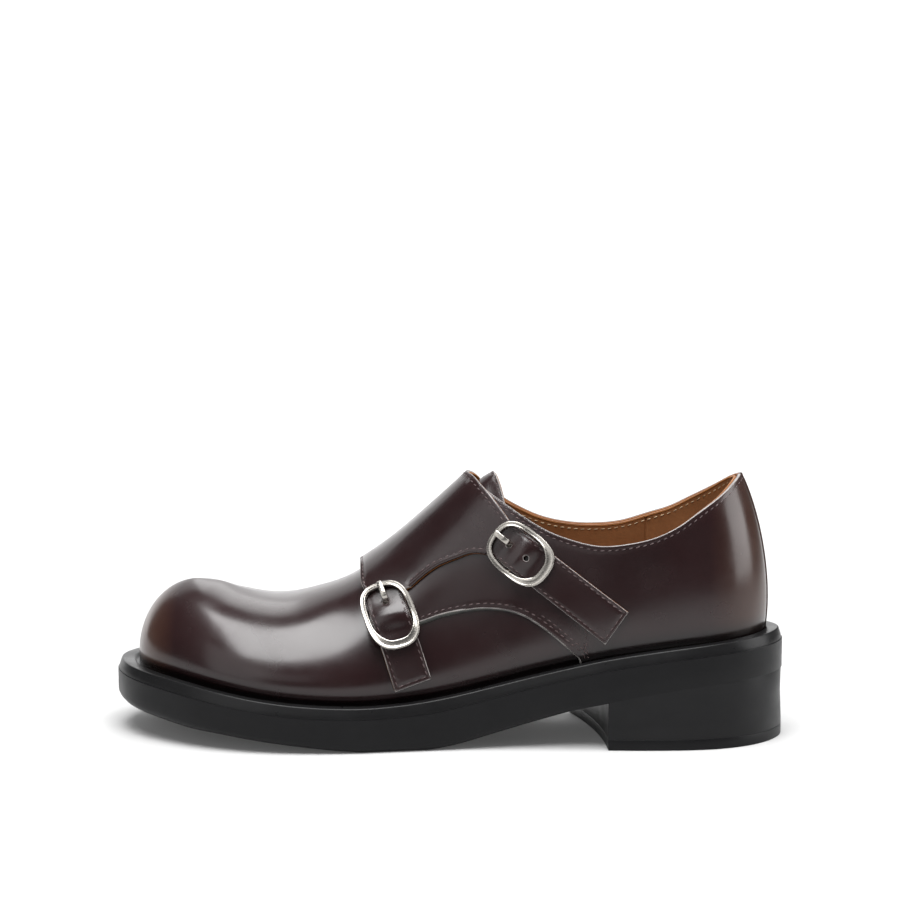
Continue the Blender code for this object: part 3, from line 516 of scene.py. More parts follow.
def softness(s, v):
    """Small rise and fall of the leather over the last, in the troughs and between them."""
    plane = np.stack(np.broadcast_arrays(s, v), axis=-1) * SPREAD
    total = np.zeros(plane.shape[:-1])
    for first, last, depth, width in TROUGHS:
        start, end = (np.array([station(x), at]) * SPREAD for x, at in (first, last))
        line = end - start
        part = np.clip((plane - start) @ line / (line @ line), 0, 1)
        apart = np.linalg.norm(plane - start - part[..., None] * line, axis=-1)
        fade = np.sin(math.pi * (0.08 + 0.84 * part))
        near = np.exp(-((apart / width) ** 2))
        beyond = np.exp(-(((apart - 1.9 * width) / width) ** 2))
        total += depth * fade * (0.35 * beyond - near)
    return total


# ---- lines on the last
def drawn(table):
    """Rows of x and v turned into stations and v."""
    return np.array([(station(x), v) for x, v in table])


def resampled(line, step):
    """The same line of places with its points evenly spread over the leather."""
    length = walked(on_last(line))
    count = max(2, math.ceil(length[-1] / step) + 1)
    return read_along(np.linspace(0, length[-1], count), length, line)


def curve_through(places, step=EDGE_STEP):
    """Smooth line through a few places."""
    length = walked(on_last(places))
    dense = np.linspace(0, length[-1], 16 * len(places))
    line = np.stack([hermite(length, column, dense) for column in places.T], axis=-1)
    return resampled(line, step)


def straight(first, last):
    first = np.asarray(first, float)
    part = np.linspace(0, 1, 40)[:, None]
    return resampled(first + (np.asarray(last) - first) * part, EDGE_STEP)


def collar_line(side, first_x):
    """The collar's edge on one side, from first_x to the back seam."""
    s = np.linspace(station(first_x), BACK_SEAM, 160)
    t = collar_t(side, s)
    return resampled(np.stack([s, t if side == 0 else 2 - t], axis=1), EDGE_STEP)


def moved_in(line, distance, closed=False):
    """The line of places moved to its left, seen from outside the shoe, by a distance."""
    spots = on_last(line)
    left = np.cross(on_last(line, 1.0) - spots, unit(steps_along(spots, closed)))
    small = 1e-3
    by_s, by_v = (
        (on_last(line + step) - on_last(line - step)) / (2 * small)
        for step in ((small, 0), (0, small))
    )
    dot = lambda a, b: (a * b).sum(axis=1)
    ss, sv, vv = dot(by_s, by_s), dot(by_s, by_v), dot(by_v, by_v)
    size = ss * vv - sv * sv
    part_s = (vv * dot(by_s, left) - sv * dot(by_v, left)) / size
    part_v = (ss * dot(by_v, left) - sv * dot(by_s, left)) / size
    return line + distance * np.stack([part_s, part_v], axis=-1)


def stitched_line(line, inset, start, end):
    """Line of places for a row of stitches, inset to the left and short of the line's ends."""
    line = moved_in(line, inset)
    length = walked(on_last(line))
    where = np.linspace(start, length[-1] - end, max(4, int(length[-1] / 0.6)))
    return read_along(where, length, line)


def way_round(loop):
    """1 for a closed loop of places that runs anticlockwise, -1 for the other way."""
    x, y = loop.T
    return 1 if (x * np.roll(y, -1) - np.roll(x, -1) * y).sum() > 0 else -1


def edge_of(sections):
    """The closed edge that is made of these lines, each of which starts where the last one ends."""
    return np.concatenate([line[:-1] for line in sections])


def inside(points, edge):
    """True for the points that lie inside a closed edge."""
    found = np.zeros(len(points), bool)
    for (x0, y0), (x1, y1) in zip(edge, np.roll(edge, -1, 0)):
        if y0 != y1:
            crosses = (y0 > points[:, 1]) != (y1 > points[:, 1])
            found ^= crosses & (points[:, 0] < x0 + (points[:, 1] - y0) * (x1 - x0) / (y1 - y0))
    return found


def distances(points, line):
    """Distance from each point to the nearest point of a line."""
    tree = KDTree(len(line))
    for index, spot in enumerate(line):
        tree.insert(spot, index)
    tree.balance()
    return np.array([tree.find(point)[2] for point in points])


# ---- pieces
def placed(name, data):
    """A new object in the scene."""
    made = bpy.data.objects.new(name, data)
    bpy.context.scene.collection.objects.link(made)
    return made


def add_piece(name, points, faces, finishes, node, crisp=40, wear_and_shade=None, of_face=None):
    """One object from points in millimetres, with its faces turned outward.

    node is the CAD node that it stands for, if any.
    """
    mesh = bpy.data.meshes.new(name)
    points = np.asarray(points, float) + (0.0, CENTRE_SHIFT, 0.0)
    mesh.from_pydata((points * MM).tolist(), [], faces)
    for finish in finishes:
        mesh.materials.append(finish)
    if of_face is not None:
        mesh.polygons.foreach_set("material_index", of_face)
    if wear_and_shade is not None:
        mesh.attributes.new("wear_and_shade", "FLOAT", "POINT").data.foreach_set("value", wear_and_shade)
    work = bmesh.new()
    work.from_mesh(mesh)
    bmesh.ops.remove_doubles(work, verts=work.verts, dist=2e-6)
    bmesh.ops.dissolve_degenerate(work, edges=work.edges, dist=1e-6)
    bmesh.ops.recalc_face_normals(work, faces=work.faces)
    work.to_mesh(mesh)
    work.free()
    mesh.shade_smooth()
    mesh.set_sharp_from_angle(angle=math.radians(crisp))
    piece = placed(name, mesh)
    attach(piece, "root")
    if node:
        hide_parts(node)


def grid_faces(rows, columns, start=0, flip=False):
    """Quads over a grid of rows x columns points, numbered row by row from start."""
    first = (np.arange(rows - 1)[:, None] * columns + np.arange(columns - 1)).ravel() + start
    quads = np.stack([first, first + 1, first + columns + 1, first + columns], axis=1)
    return (quads[:, ::-1] if flip else quads).tolist()


def ring_faces(rings, sides, closed=False):
    """Quads between rings of points, with end faces unless the last ring joins the first."""
    faces = []
    for i in range(rings if closed else rings - 1):
        here, after = i * sides, (i + 1) % rings * sides
        for j in range(sides):
            k = (j + 1) % sides
            faces.append([here + j, here + k, after + k, after + j])
    if not closed:
        faces += [list(range(sides))[::-1], [(rings - 1) * sides + j for j in range(sides)]]
    return faces


def open_edges(faces):
    """Edges, as pairs of corners, that only one face has."""
    sides = {(a, b) for face in faces for a, b in zip(face, face[1:] + face[:1])}
    return sorted((a, b) for a, b in sides if (b, a) not in sides)


def stacked_piece(name, levels, finish, node, crisp=40):
    """Closed body from grids of points, lowest first: its ends are the first and last grids."""
    rows, columns = levels[0].shape[:2]
    index = np.arange(rows * columns).reshape(rows, columns)
    loop = np.concatenate([index[0], index[1:, -1], index[-1, -2::-1], index[-2:0:-1, 0]])
    points = [level.reshape(-1, 3) for level in levels]
    points[1:-1] = [level[loop] for level in points[1:-1]]
    start = rows * columns
    rings = [loop]
    for _ in levels[1:-1]:
        rings.append(start + np.arange(len(loop)))
        start += len(loop)
    rings.append(start + loop)
    faces = grid_faces(rows, columns, 0, flip=True) + grid_faces(rows, columns, start)
    for low, high in zip(rings, rings[1:]):
        faces += np.stack([low, np.roll(low, -1), np.roll(high, -1), high], axis=1).tolist()
    add_piece(name, np.concatenate(points), faces, [finish], node, crisp)


def tube(centres, ups, wide, high, section, closed=False):
    """Points and faces of a bar along a line, wide across it and high along ups.

    section has the shares of wide and high at the points round it.
    """
    ahead = steps_along(centres, closed)
    across = unit(np.cross(ahead, ups))
    up = unit(np.cross(across, ahead))
    wide, high = (np.broadcast_to(size, len(centres))[:, None, None] for size in (wide, high))
    along_wide, along_high = (np.array(shares)[:, None] for shares in section)
    points = centres[:, None] + wide * along_wide * across[:, None]
    points = points + high * along_high * up[:, None]
    return points.reshape(-1, 3), ring_faces(len(centres), len(along_wide), closed)


def squared_turn(count, squareness=2):
    """Cosines and sines round a circle, or round a squarer ring where squareness is over 2."""
    turn = np.arange(count) * 2 * math.pi / count
    return [np.sign(c) * np.abs(c) ** (2 / squareness) for c in (np.cos(turn), np.sin(turn))]


# ---- stitching
STITCH_PITCH = 2.85
STITCH_LONG = 1.95
STITCH_RADIUS = 0.23
STITCH_SLANT = 0.14
# Rings of one stitch: place along it, height, thickness.
STITCH_RINGS = (
    (-1, -0.34, 0.6), (-0.72, -0.06, 0.95), (0, 0.07, 1), (0.72, -0.06, 0.95), (1, -0.34, 0.6),
)
STITCH_SIDES = 6


def stitches(name, rows, height, finish, inward=False):
    """One piece of all the stitches along rows of places, at height(s, v)."""
    points, faces = [], []
    one = ring_faces(len(STITCH_RINGS), STITCH_SIDES)
    for row in rows:
        line = resampled(row, 0.3)
        level = height(*line.T)
        spots = on_last(line, level)
        ups = on_last(line, level + 1.0) - spots
        if inward:
            ups = -ups
        length = walked(spots)
        number = max(1, int(length[-1] / STITCH_PITCH))
        pitch = length[-1] / number
        rings = []
        for along, rise, thick in STITCH_RINGS:
            where = (np.arange(number) + 0.5) * pitch
            where = where + along * STITCH_LONG / 2 * pitch / STITCH_PITCH
            up = read_along(where, length, ups)
            ahead = read_along(where + 0.3, length, spots) - read_along(where - 0.3, length, spots)
            side = unit(np.cross(up, ahead))
            centre = read_along(where, length, spots) + up * rise + side * along * STITCH_SLANT
            for turn in np.arange(STITCH_SIDES) * 2 * math.pi / STITCH_SIDES:
                reach = STITCH_RADIUS * thick
                rings.append(centre + reach * (math.cos(turn) * side + math.sin(turn) * up))
        start = sum(len(p) for p in points)
        points.append(np.stack(rings, axis=1).reshape(-1, 3))
        starts = start + np.arange(number) * len(rings)
        faces += [[first + corner for corner in face] for first in starts.tolist() for face in one]
    add_piece(name, np.concatenate(points), faces, [finish], None, 70)


# ---- panels of leather
EDGE_ROUND = 0.45
RING_STEPS = (0.12, 0.28, 0.48, 0.64, 0.8, 0.96, 1.12, 1.28, 1.48, 2, 2.6)
# Least thickness of a panel at its edge.
EDGE_LEAST = 0.25
GROOVE_DEPTH, GROOVE_WIDTH = 0.13, 0.55
# Reach in v of the band of painted shade above the welt.
WELT_SHADE_REACH = 0.055
# Part of a bevel's width that shows the bevel's own finish.
BEVEL_SEEN = 0.95
# Spacing of the points that stand for a line where distances from it are taken.
FINE = 0.12


def welt_shade(v):
    """How far the leather at v is darkened by painted shade near the welt, from 0 to 1."""
    return 1 - smooth(0.0, WELT_SHADE_REACH, np.minimum(v, 2 - v))


def rounding(away, radius):
    """Drop of a round shoulder, at a distance from the edge."""
    shoulder = np.clip(radius - away, 0, radius)
    return radius - np.sqrt(np.maximum(radius**2 - shoulder**2, 0))


def tiled(loops, thickness, spacing, edge_spots):
    """Places and triangles that fill the loops: rings along their edges and a grid inside."""
    plane_loops = [loop * SPREAD for loop in loops]
    ends = zip(plane_loops[0].min(axis=0), plane_loops[0].max(axis=0))
    axes = (np.arange(low + spacing / 2, high, spacing) for low, high in ends)
    grid = np.meshgrid(*axes, indexing="ij")
    extra = [np.stack([axis.ravel() for axis in grid], axis=1) / SPREAD]
    least = [np.full(len(extra[0]), RING_STEPS[-1] + 0.4 * spacing)]
    for step in RING_STEPS:
        for loop in loops:
            extra.append(moved_in(loop, step, closed=True))
            least.append(np.full(len(loop), 0.85 * step))
    extra, least = np.concatenate(extra), np.concatenate(least)
    kept = inside(extra * SPREAD, plane_loops[0])
    for loop in plane_loops[1:]:
        kept &= ~inside(extra * SPREAD, loop)
    extra = extra[kept]
    extra = extra[distances(on_last(extra, thickness), edge_spots) >= least[kept]]
    places = [Vector(p) for p in np.concatenate([*plane_loops, extra * SPREAD])]
    starts = np.cumsum([0, *map(len, loops)]).tolist()
    chains = [list(range(*ends)) for ends in zip(starts, starts[1:])]
    joins = [(a, b) for chain in chains[1:] for a, b in zip(chain, chain[1:] + chain[:1])]
    found = delaunay_2d_cdt(places, joins, [chains[0]], 1, 1e-5)
    flat, faces = (np.array([tuple(row) for row in found[k]]) for k in (0, 2))
    for loop in plane_loops[1:]:
        faces = faces[~inside(flat[faces].mean(axis=1), loop)]
    return flat / SPREAD, faces


def panel(node, sections, base, thickness, spacing, finishes, rows, holes=(), bevels=()):
    """Sheet of leather over the last, rounded along its edge, and the stitches pressed into it.

    sections are the lines of places that its edge is made of, base(s, v) is the height of its
    underside, finishes are those of its face, its cut edge and its back, rows are the lines of
    places along which it is stitched, and bevels are lines with a wider rounding: the line,
    its radius and which of the finishes it shows.
    """
    outline = edge_of(sections)
    loops = [outline[:: way_round(outline)], *(hole[:: -way_round(hole)] for hole in holes)]
    edge_spots = np.concatenate([even_loop(on_last(loop, thickness), FINE) for loop in loops])
    flat, faces = tiled(loops, thickness, spacing, edge_spots)
    s, v = np.clip(flat[:, 0], 0, 1), flat[:, 1]
    top = on_last(flat, thickness)
    from_edge = distances(top, edge_spots)
    stitched = np.concatenate([on_last(resampled(row, 0.15), thickness) for row in rows])
    groove = np.exp(-((distances(top, stitched) / GROOVE_WIDTH) ** 2))
    drop = rounding(from_edge, EDGE_ROUND) + GROOVE_DEPTH * groove
    fine = [on_last(resampled(line, FINE), thickness) for line, _, _ in bevels]
    from_bevel = [distances(top, spots) for spots in fine]
    for away, (_, radius, _) in zip(from_bevel, bevels):
        drop = np.maximum(drop, rounding(away, radius))
    drop = np.minimum(drop, thickness - EDGE_LEAST)
    below = base(s, v) + softness(s, v)
    outer = skin(0, s, v, below + thickness - drop)
    sheet = faces.tolist()
    open_sides = open_edges(sheet)
    number = len(flat)
    rim = sorted({a for edge in open_sides for a in edge})
    at = {old: 2 * number + new for new, old in enumerate(rim)}
    belt = skin(0, s[rim], v[rim], (below + 0.45 * (thickness - drop))[rim])
    back = [[number + index for index in reversed(face)] for face in sheet]
    upper_wall = [[b, a, at[a], at[b]] for a, b in open_sides]
    lower_wall = [[at[b], at[a], number + a, number + b] for a, b in open_sides]
    # Faces at the rounded edge take the cut edge's finish, whose pale grey is partly a painted
    # highlight.
    on_edge = (from_edge[faces].max(axis=1) < EDGE_ROUND * 0.75).astype(int)
    on_wall = np.ones(len(upper_wall), int)
    walls = np.array([a for a, _ in open_sides])
    for away, (_, radius, finish) in zip(from_bevel, bevels):
        on_edge[away[faces].max(axis=1) < radius * BEVEL_SEEN] = finish
        on_wall[away[walls] < EDGE_ROUND] = finish
    of_face = on_edge.tolist() + [2] * len(back) + on_wall.tolist() + [2] * len(lower_wall)
    # Painted shade near the welt as negative values; elsewhere the edges are worn paler.
    worn_and_shaded = np.where(welt_shade(v) > 0, -welt_shade(v), np.exp(-from_edge / 1.1))
    wear_and_shade = np.concatenate([worn_and_shaded, worn_and_shaded, np.ones(len(rim))])
    points = np.concatenate([outer, skin(0, s, v, below), belt])
    faces = sheet + back + upper_wall + lower_wall
    add_piece(
        node + "_leather", points, faces, finishes, node, 46, wear_and_shade, of_face
    )
    height = lambda s, v: base(s, v) + softness(s, v) + thickness - GROOVE_DEPTH
    stitches(node + "_stitches", rows, height, THREAD)


# ---- materials
def feed(socket, value):
    """Links a socket to another one, or sets its value."""
    if isinstance(value, bpy.types.NodeSocket):
        socket.id_data.links.new(value, socket)
    else:
        socket.default_value = (*value, 1.0) if socket.type == "RGBA" else value


class Finish:
    """A material in the making: its shader and short ways to add its nodes."""

    def __init__(self, name, colour, **fixed):
        self.made = bpy.data.materials.new(name)
        self.made.use_nodes = True
        self.made.diffuse_color = (*colour, 1.0)
        self.nodes = self.made.node_tree.nodes
        self.where = self.node("TexCoord", {}, "Object")
        self.set({"Base Color": colour})
        self.set({name.replace("_", " "): value for name, value in fixed.items()})

    def set(self, values):
        for name, value in values.items():
            feed(self.nodes["Principled BSDF"].inputs[name], value)

    def node(self, kind, inputs, output, **settings):
        """An output of a new node, with its inputs linked or set."""
        made = self.nodes.new("ShaderNode" + kind)
        for name, value in settings.items():
            setattr(made, name, value)
        for name, value in inputs.items():
            feed(made.inputs[name], value)
        return made.outputs[output]

    def ranged(self, value, low, high, to_low=0.0, to_high=1.0):
        inputs = {"Value": value, "From Min": low, "From Max": high}
        return self.node("MapRange", {**inputs, "To Min": to_low, "To Max": to_high}, "Result")

    def noise(self, scale, detail, rough=0.55, where=None):
        inputs = {"Vector": where or self.where, "Scale": scale, "Detail": detail}
        return self.node("TexNoise", {**inputs, "Roughness": rough}, "Fac")

    def mixed(self, part, first, second):
        return self.node("Mix", {0: part, 6: first, 7: second}, 2, data_type="RGBA")

    def times(self, first, second):
        return self.node("Math", {0: first, 1: second}, 0, operation="MULTIPLY")

    def bump(self, height, strength, distance):
        inputs = {"Height": height, "Strength": strength, "Distance": distance}
        self.set({"Normal": self.node("Bump", inputs, "Normal")})


def leather(name, deep, light, warm, roughness, worn_and_shaded):
    """Polished leather: mottled dye, warmer at the toe, fine grain, paler along its worn edges and
    darkened by painted shade near the welt.
    """
    f = Finish(name, deep, Roughness=roughness, Coat_Weight=0.08, Coat_Roughness=0.14)
    colour = f.mixed(f.ranged(f.noise(16, 3), 0.35, 0.7), deep, light)
    x = f.node("SeparateXYZ", {"Vector": f.where}, "X")
    colour = f.mixed(f.ranged(x, -0.112, -0.136), colour, warm)
    colour = f.mixed(f.ranged(x, 0.106, 0.126, 0, 0.42), colour, warm)
    colour = f.mixed(f.ranged(f.noise(420, 2), 0.35, 0.75, 0, 0.22), colour, light)
    wear_and_shade = f.node("Attribute", {}, "Fac", attribute_name="wear_and_shade")
    colour = f.mixed(f.times(wear_and_shade, 0.5), colour, worn_and_shaded)
    # Negative values of the attribute are painted shade above the welt, darkening the leather to
    # near black.
    colour = f.mixed(f.ranged(wear_and_shade, 0, -1, 0, 0.9), colour, (0.001,) * 3)
    rough = f.ranged(f.noise(60, 4), 0.3, 0.7, roughness - 0.04, roughness + 0.05)
    f.set({"Base Color": colour, "Roughness": rough})
    f.bump(f.noise(280, 2), 0.06, 0.0002)
    return f.made


def tan(name, deep, light, shine):
    """Smooth vegetable-tanned lining leather, blotched and slightly shiny."""
    f = Finish(name, deep, Roughness=0.6, Specular_IOR_Level=shine)
    cloud = f.ranged(f.noise(38, 5, 0.6), 0.32, 0.68)
    fine = f.ranged(f.noise(600, 3), 0.3, 0.7, 0, 0.35)
    colour = f.mixed(fine, f.mixed(cloud, deep, light), deep)
    f.set({"Base Color": colour, "Roughness": f.ranged(cloud, 0, 1, 0.54, 0.68)})
    f.bump(f.noise(1300, 4, 0.6), 0.22, 0.0003)
    return f.made


def rubber(name, colour, light, roughness):
    """Moulded rubber: matt, with a fine stipple and a few lighter rubbed places."""
    f = Finish(name, colour, Roughness=roughness, Specular_IOR_Level=0.2)
    rough = f.ranged(f.noise(90, 4), 0.3, 0.7, roughness - 0.06, roughness + 0.06)
    rubbed = f.mixed(f.ranged(f.noise(30, 5, 0.6), 0.4, 0.8), colour, light)
    f.set({"Base Color": rubbed, "Roughness": rough})
    f.bump(f.noise(1400, 2), 0.12, 0.00015)
    return f.made


def steel(name, colour, roughness):
    """Satin nickel: fine brushed streaks and slightly uneven polish."""
    f = Finish(name, colour, Roughness=roughness, Metallic=1.0)
    stretched = f.node("Mapping", {"Vector": f.where, "Scale": (1, 1, 6)}, "Vector")
    streaks = f.noise(420, 2, where=stretched)
    dull = f.ranged(f.noise(160, 3), 0.35, 0.75, 0, 0.25)
    rough = f.ranged(streaks, 0.3, 0.7, roughness - 0.03, roughness + 0.05)
    darker = tuple(0.8 * c for c in colour)
    f.set({"Base Color": f.mixed(dull, colour, darker), "Roughness": rough})
    f.bump(streaks, 0.015, 0.0001)
    return f.made


def thread(name, colour, light):
    """Waxed thread, lighter on some stitches, with its twist as a fine bump."""
    f = Finish(name, colour, Roughness=0.5)
    f.set({"Base Color": f.mixed(f.ranged(f.noise(210, 2), 0.35, 0.65), colour, light)})
    twist = {"Vector": f.where, "Scale": 900, "Distortion": 1}
    f.bump(f.node("TexWave", twist, "Fac"), 0.3, 0.0001)
    return f.made


def cut_edge(name, colour, light):
    """Cut edge of a leather: paler and rougher than its face, with its fibres, mottled between two
    given tones.
    """
    f = Finish(name, colour, Roughness=0.42)
    shade = f.ranged(f.noise(160, 4, 0.6), 0.35, 0.7)
    rough = f.ranged(shade, 0, 1, 0.38, 0.55)
    f.set({"Base Color": f.mixed(shade, colour, light), "Roughness": rough})
    f.bump(f.noise(1500, 3), 0.25, 0.0002)
    return f.made


BURGUNDY = leather(
    "burgundy_leather_polished", (0.0092, 0.0027, 0.0031), (0.015, 0.005, 0.0054),
    (0.075, 0.031, 0.016), 0.24, (0.034, 0.019, 0.018),
)
# The cut edge's pale grey is partly its own colour and partly a painted highlight along the rounded
# edges; the shaded edge is painted shade under the arch's pale line.
CUT_EDGE_WITH_HIGHLIGHT = cut_edge("burgundy_cut_edge_painted_highlight", (0.17, 0.155, 0.15), (0.32, 0.3, 0.29))
DARK_EDGE = cut_edge("burgundy_dark_edge", (0.035, 0.02, 0.019), (0.07, 0.045, 0.043))
SHADED_EDGE = cut_edge("burgundy_shaded_edge", (0.022, 0.024, 0.021), (0.05, 0.053, 0.047))
TAN = tan("tan_leather_lining", (0.17, 0.064, 0.02), (0.28, 0.118, 0.042), 0.4)
TAN_EDGE = tan("tan_leather_edge", (0.17, 0.06, 0.013), (0.25, 0.098, 0.026), 0.15)
RUBBER = rubber("black_rubber_sole", (0.003, 0.003, 0.0036), (0.005, 0.005, 0.0057), 0.38)
WELT_RUBBER = rubber("black_rubber_welt", (0.0068, 0.0068, 0.0072), (0.0098, 0.0098, 0.0102), 0.32)
HEEL_RUBBER = rubber("black_rubber_heel", (0.0056, 0.0056, 0.0062), (0.0085, 0.0085, 0.0092), 0.38)
STEEL = steel("satin_nickel", (0.46, 0.435, 0.4), 0.25)
THREAD = thread("burgundy_thread", (0.032, 0.016, 0.017), (0.085, 0.055, 0.055))
PALE_THREAD = thread("beige_thread", (0.26, 0.16, 0.085), (0.5, 0.37, 0.23))


# ---- sole
SOLE_STATIONS = np.linspace(0, 1, 330)
# Bars of the tread, which wave across the sole, and where they start and end along it.
TREAD_PITCH, TREAD_DEPTH, TREAD_BORDER = 7.5, 0.7, 7
TREAD_BEND, TREAD_BEND_WIDE = 0.55, 26
TREAD_START, TREAD_END = (TOE_X + 14, TOE_X + 16), (34, 36)
# Ledge at the back of the heel block: where it grows and its depth at the two highest levels.
LEDGE_X, LEDGE_INSETS = (108, 134), (0.55, 0.35)
INSOLE_DISH = 0.9
HEEL_ROWS, HEEL_COLUMNS = 90, 60


def between(low, high, share):
    """A height that lies a share of the way from one to another, all as functions of x."""
    return lambda x: low(x) + share * (high(x) - low(x))


def plan_grid(inset, base, rise, stations=SOLE_STATIONS, columns=61):
    """Grid over the sole's outline, moved inward by inset, at a rise above base(x)."""
    outline = inset_outline(inset)
    x, outer = edge_point(outline, 0, stations)
    _, inner = edge_point(outline, 1, stations)
    y = outer[:, None] + (inner - outer)[:, None] * np.linspace(0, 1, columns)
    x = np.repeat(x[:, None], columns, axis=1)
    return np.stack([x, y, base(x) + rise], axis=-1)


def heel_grid(inset, base, rise, breast_in=0.0):
    """Grid over the heel's plan, from its slanted hollow breast to the back of the seat."""
    outline = inset_outline(inset)
    across = np.linspace(0, 1, HEEL_COLUMNS)
    front = BREAST_OUTER_X + (BREAST_INNER_X - BREAST_OUTER_X) * across + breast_in
    first = station(front + BREAST_HOLLOW * 4 * across * (1 - across), outline)
    s = first + (1 - first) * np.linspace(0, 1, HEEL_ROWS)[:, None]
    x, outer = edge_point(outline, 0, s)
    _, inner = edge_point(outline, 1, s)
    return np.stack([x, outer + (inner - outer) * across, base(x) + rise], axis=-1)


# Each row of a profile is an inset, a base height over x and a rise above it.
def build_outsole():
    profile, square = [], []
    for k in range(6):
        turn = k / 5 * math.pi / 2
        rise = TREAD_ROUND * (1 - math.cos(turn))
        profile.append((TREAD_ROUND * (1 - math.sin(turn)), underside, rise))
        square.append((0.02 * (1 - k / 5), underside, 0.01 * k))
    upward = [
        (0, between(underside, outsole_top, 0.5), 0), (0, outsole_top, -0.4),
        (0, outsole_top, -0.08), (0.03, outsole_top, -0.02), (0.12, outsole_top, 0),
    ]
    levels = []
    for rounded, tight in zip(profile + upward, square + upward):
        grid = plan_grid(*rounded)
        # Over the heel the lower edge stays square, so that the heel's side runs on from it.
        on_heel = smooth(BREAST_INNER_X - 4, BREAST_OUTER_X - 2, grid[..., :1])
        levels.append(grid + (plan_grid(*tight) - grid) * on_heel)
    x, y = levels[0][..., 0], levels[0][..., 1]
    from_side = np.minimum(y - y[:, :1], y[:, -1:] - y)
    wave = x / TREAD_PITCH + TREAD_BEND * np.cos(y * math.pi / TREAD_BEND_WIDE)
    groove = 1 - smooth(0.22, 0.42, np.abs(np.mod(wave, 1) - 0.5))
    inner = smooth(TREAD_BORDER, TREAD_BORDER + 1.2, from_side) * smooth(*TREAD_START, x)
    levels[0][..., 2] += TREAD_DEPTH * groove * inner * (1 - smooth(*TREAD_END, x))
    stacked_piece("outsole_rubber_unit", levels, RUBBER, "outsole")


def build_heel():
    """Heel block and the lift under it. A profile's fourth value moves the breast back."""
    top = lambda x: np.full_like(x, TOP_LIFT_THICK + 0.03)
    seat = lambda x: underside(x) - GAP
    profile = [
        (0.12, top, 0, 0.12), (0.03, top, 0.04, 0.03), (0, top, 0.12),
        (0.25, between(top, seat, 0.3), 0.45), (0.55, between(top, seat, 0.6), 0.45),
        (0.01, seat, -0.2), (0.02, seat, 0.32),
    ]
    levels = [heel_grid(*row) for row in profile]
    # The block narrows a little under the back of the sole, which shows as a fine ledge there.
    at_back = smooth(*LEDGE_X, levels[-1][..., :1])
    for k, inset in zip((-1, -2), LEDGE_INSETS):
        levels[k] += (heel_grid(inset, *profile[k][1:]) - levels[k]) * at_back
    stacked_piece("heel_block", levels, HEEL_RUBBER, "heel", 50)
    thick = TOP_LIFT_THICK
    lift = [
        (0.4, 0), (0.15, 0.08), (0.03, 0.25), (0, 0.5),
        (0, thick - 0.12), (0.03, thick - 0.04), (0.12, thick),
    ]
    levels = [heel_grid(inset, np.zeros_like, z, inset) for inset, z in lift]
    stacked_piece("heel_top_lift", levels, RUBBER, "top_lift", 50)


def build_welt():
    """Rubber welt: a rounded plate whose top dips into a channel round the leather."""
    bottom = lambda x: outsole_top(x) + 0.02
    profile = [
        (0.6, bottom, 0), (0.32, bottom, 0.03), (0.32, bottom, 0.15),
        (0.32 + 0.45 * (WELT_INSET - 0.4), between(bottom, welt_top, 0.45), 0),
        (WELT_INSET - 0.08, welt_top, -0.5), (WELT_INSET + 0.04, welt_top, -0.2),
        (WELT_INSET + 0.24, welt_top, -0.04), (WELT_INSET + 0.6, welt_top, 0),
        (6.2, welt_top, 0), (6.8, welt_top, -0.2), (7.3, welt_top, -0.8), (7.8, welt_top, -1.3),
    ]
    levels = [plan_grid(*row, columns=5) for row in profile]
    stacked_piece("welt_rubber_edge", levels, WELT_RUBBER, "welt")


def build_insole():
    inset = SEAT_INSET + WALL + GAP
    base = lambda x: welt_top(x) + GAP + INSOLE_THICK
    profile = [(inset, -INSOLE_THICK), (inset, -0.9), (inset + 0.2, -0.3), (inset + 0.9, 0)]
    levels = [plan_grid(edge, base, rise, np.linspace(0, 1, 180), 31) for edge, rise in profile]
    levels[-1][..., 2] -= INSOLE_DISH * (1 - np.linspace(-1, 1, 31) ** 2)
    stacked_piece("insole_sock", levels, TAN, "insole")


# ---- upper
# Depth of the vamp's leather in the wall, the gap to the lining under it, and how far below
# the collar's edge it stops, as a share of the wall's height.
SKIN_DEEP, LINING_GAP, VAMP_SHORT = 0.7, 0.05, 0.03
LINING_SEAM_X = 84
SEAM_WIDTH = SEAM_DEPTH = 0.5
ROLL_HIGH = 0.5


def wall_stations(*more):
    """Stations of the wall, closer at the throat and wherever more of them are given."""
    at_throat = station(np.linspace(THROAT_X, 24, 26))
    return np.unique(np.concatenate([np.linspace(0, 1, 400), at_throat, *more]))


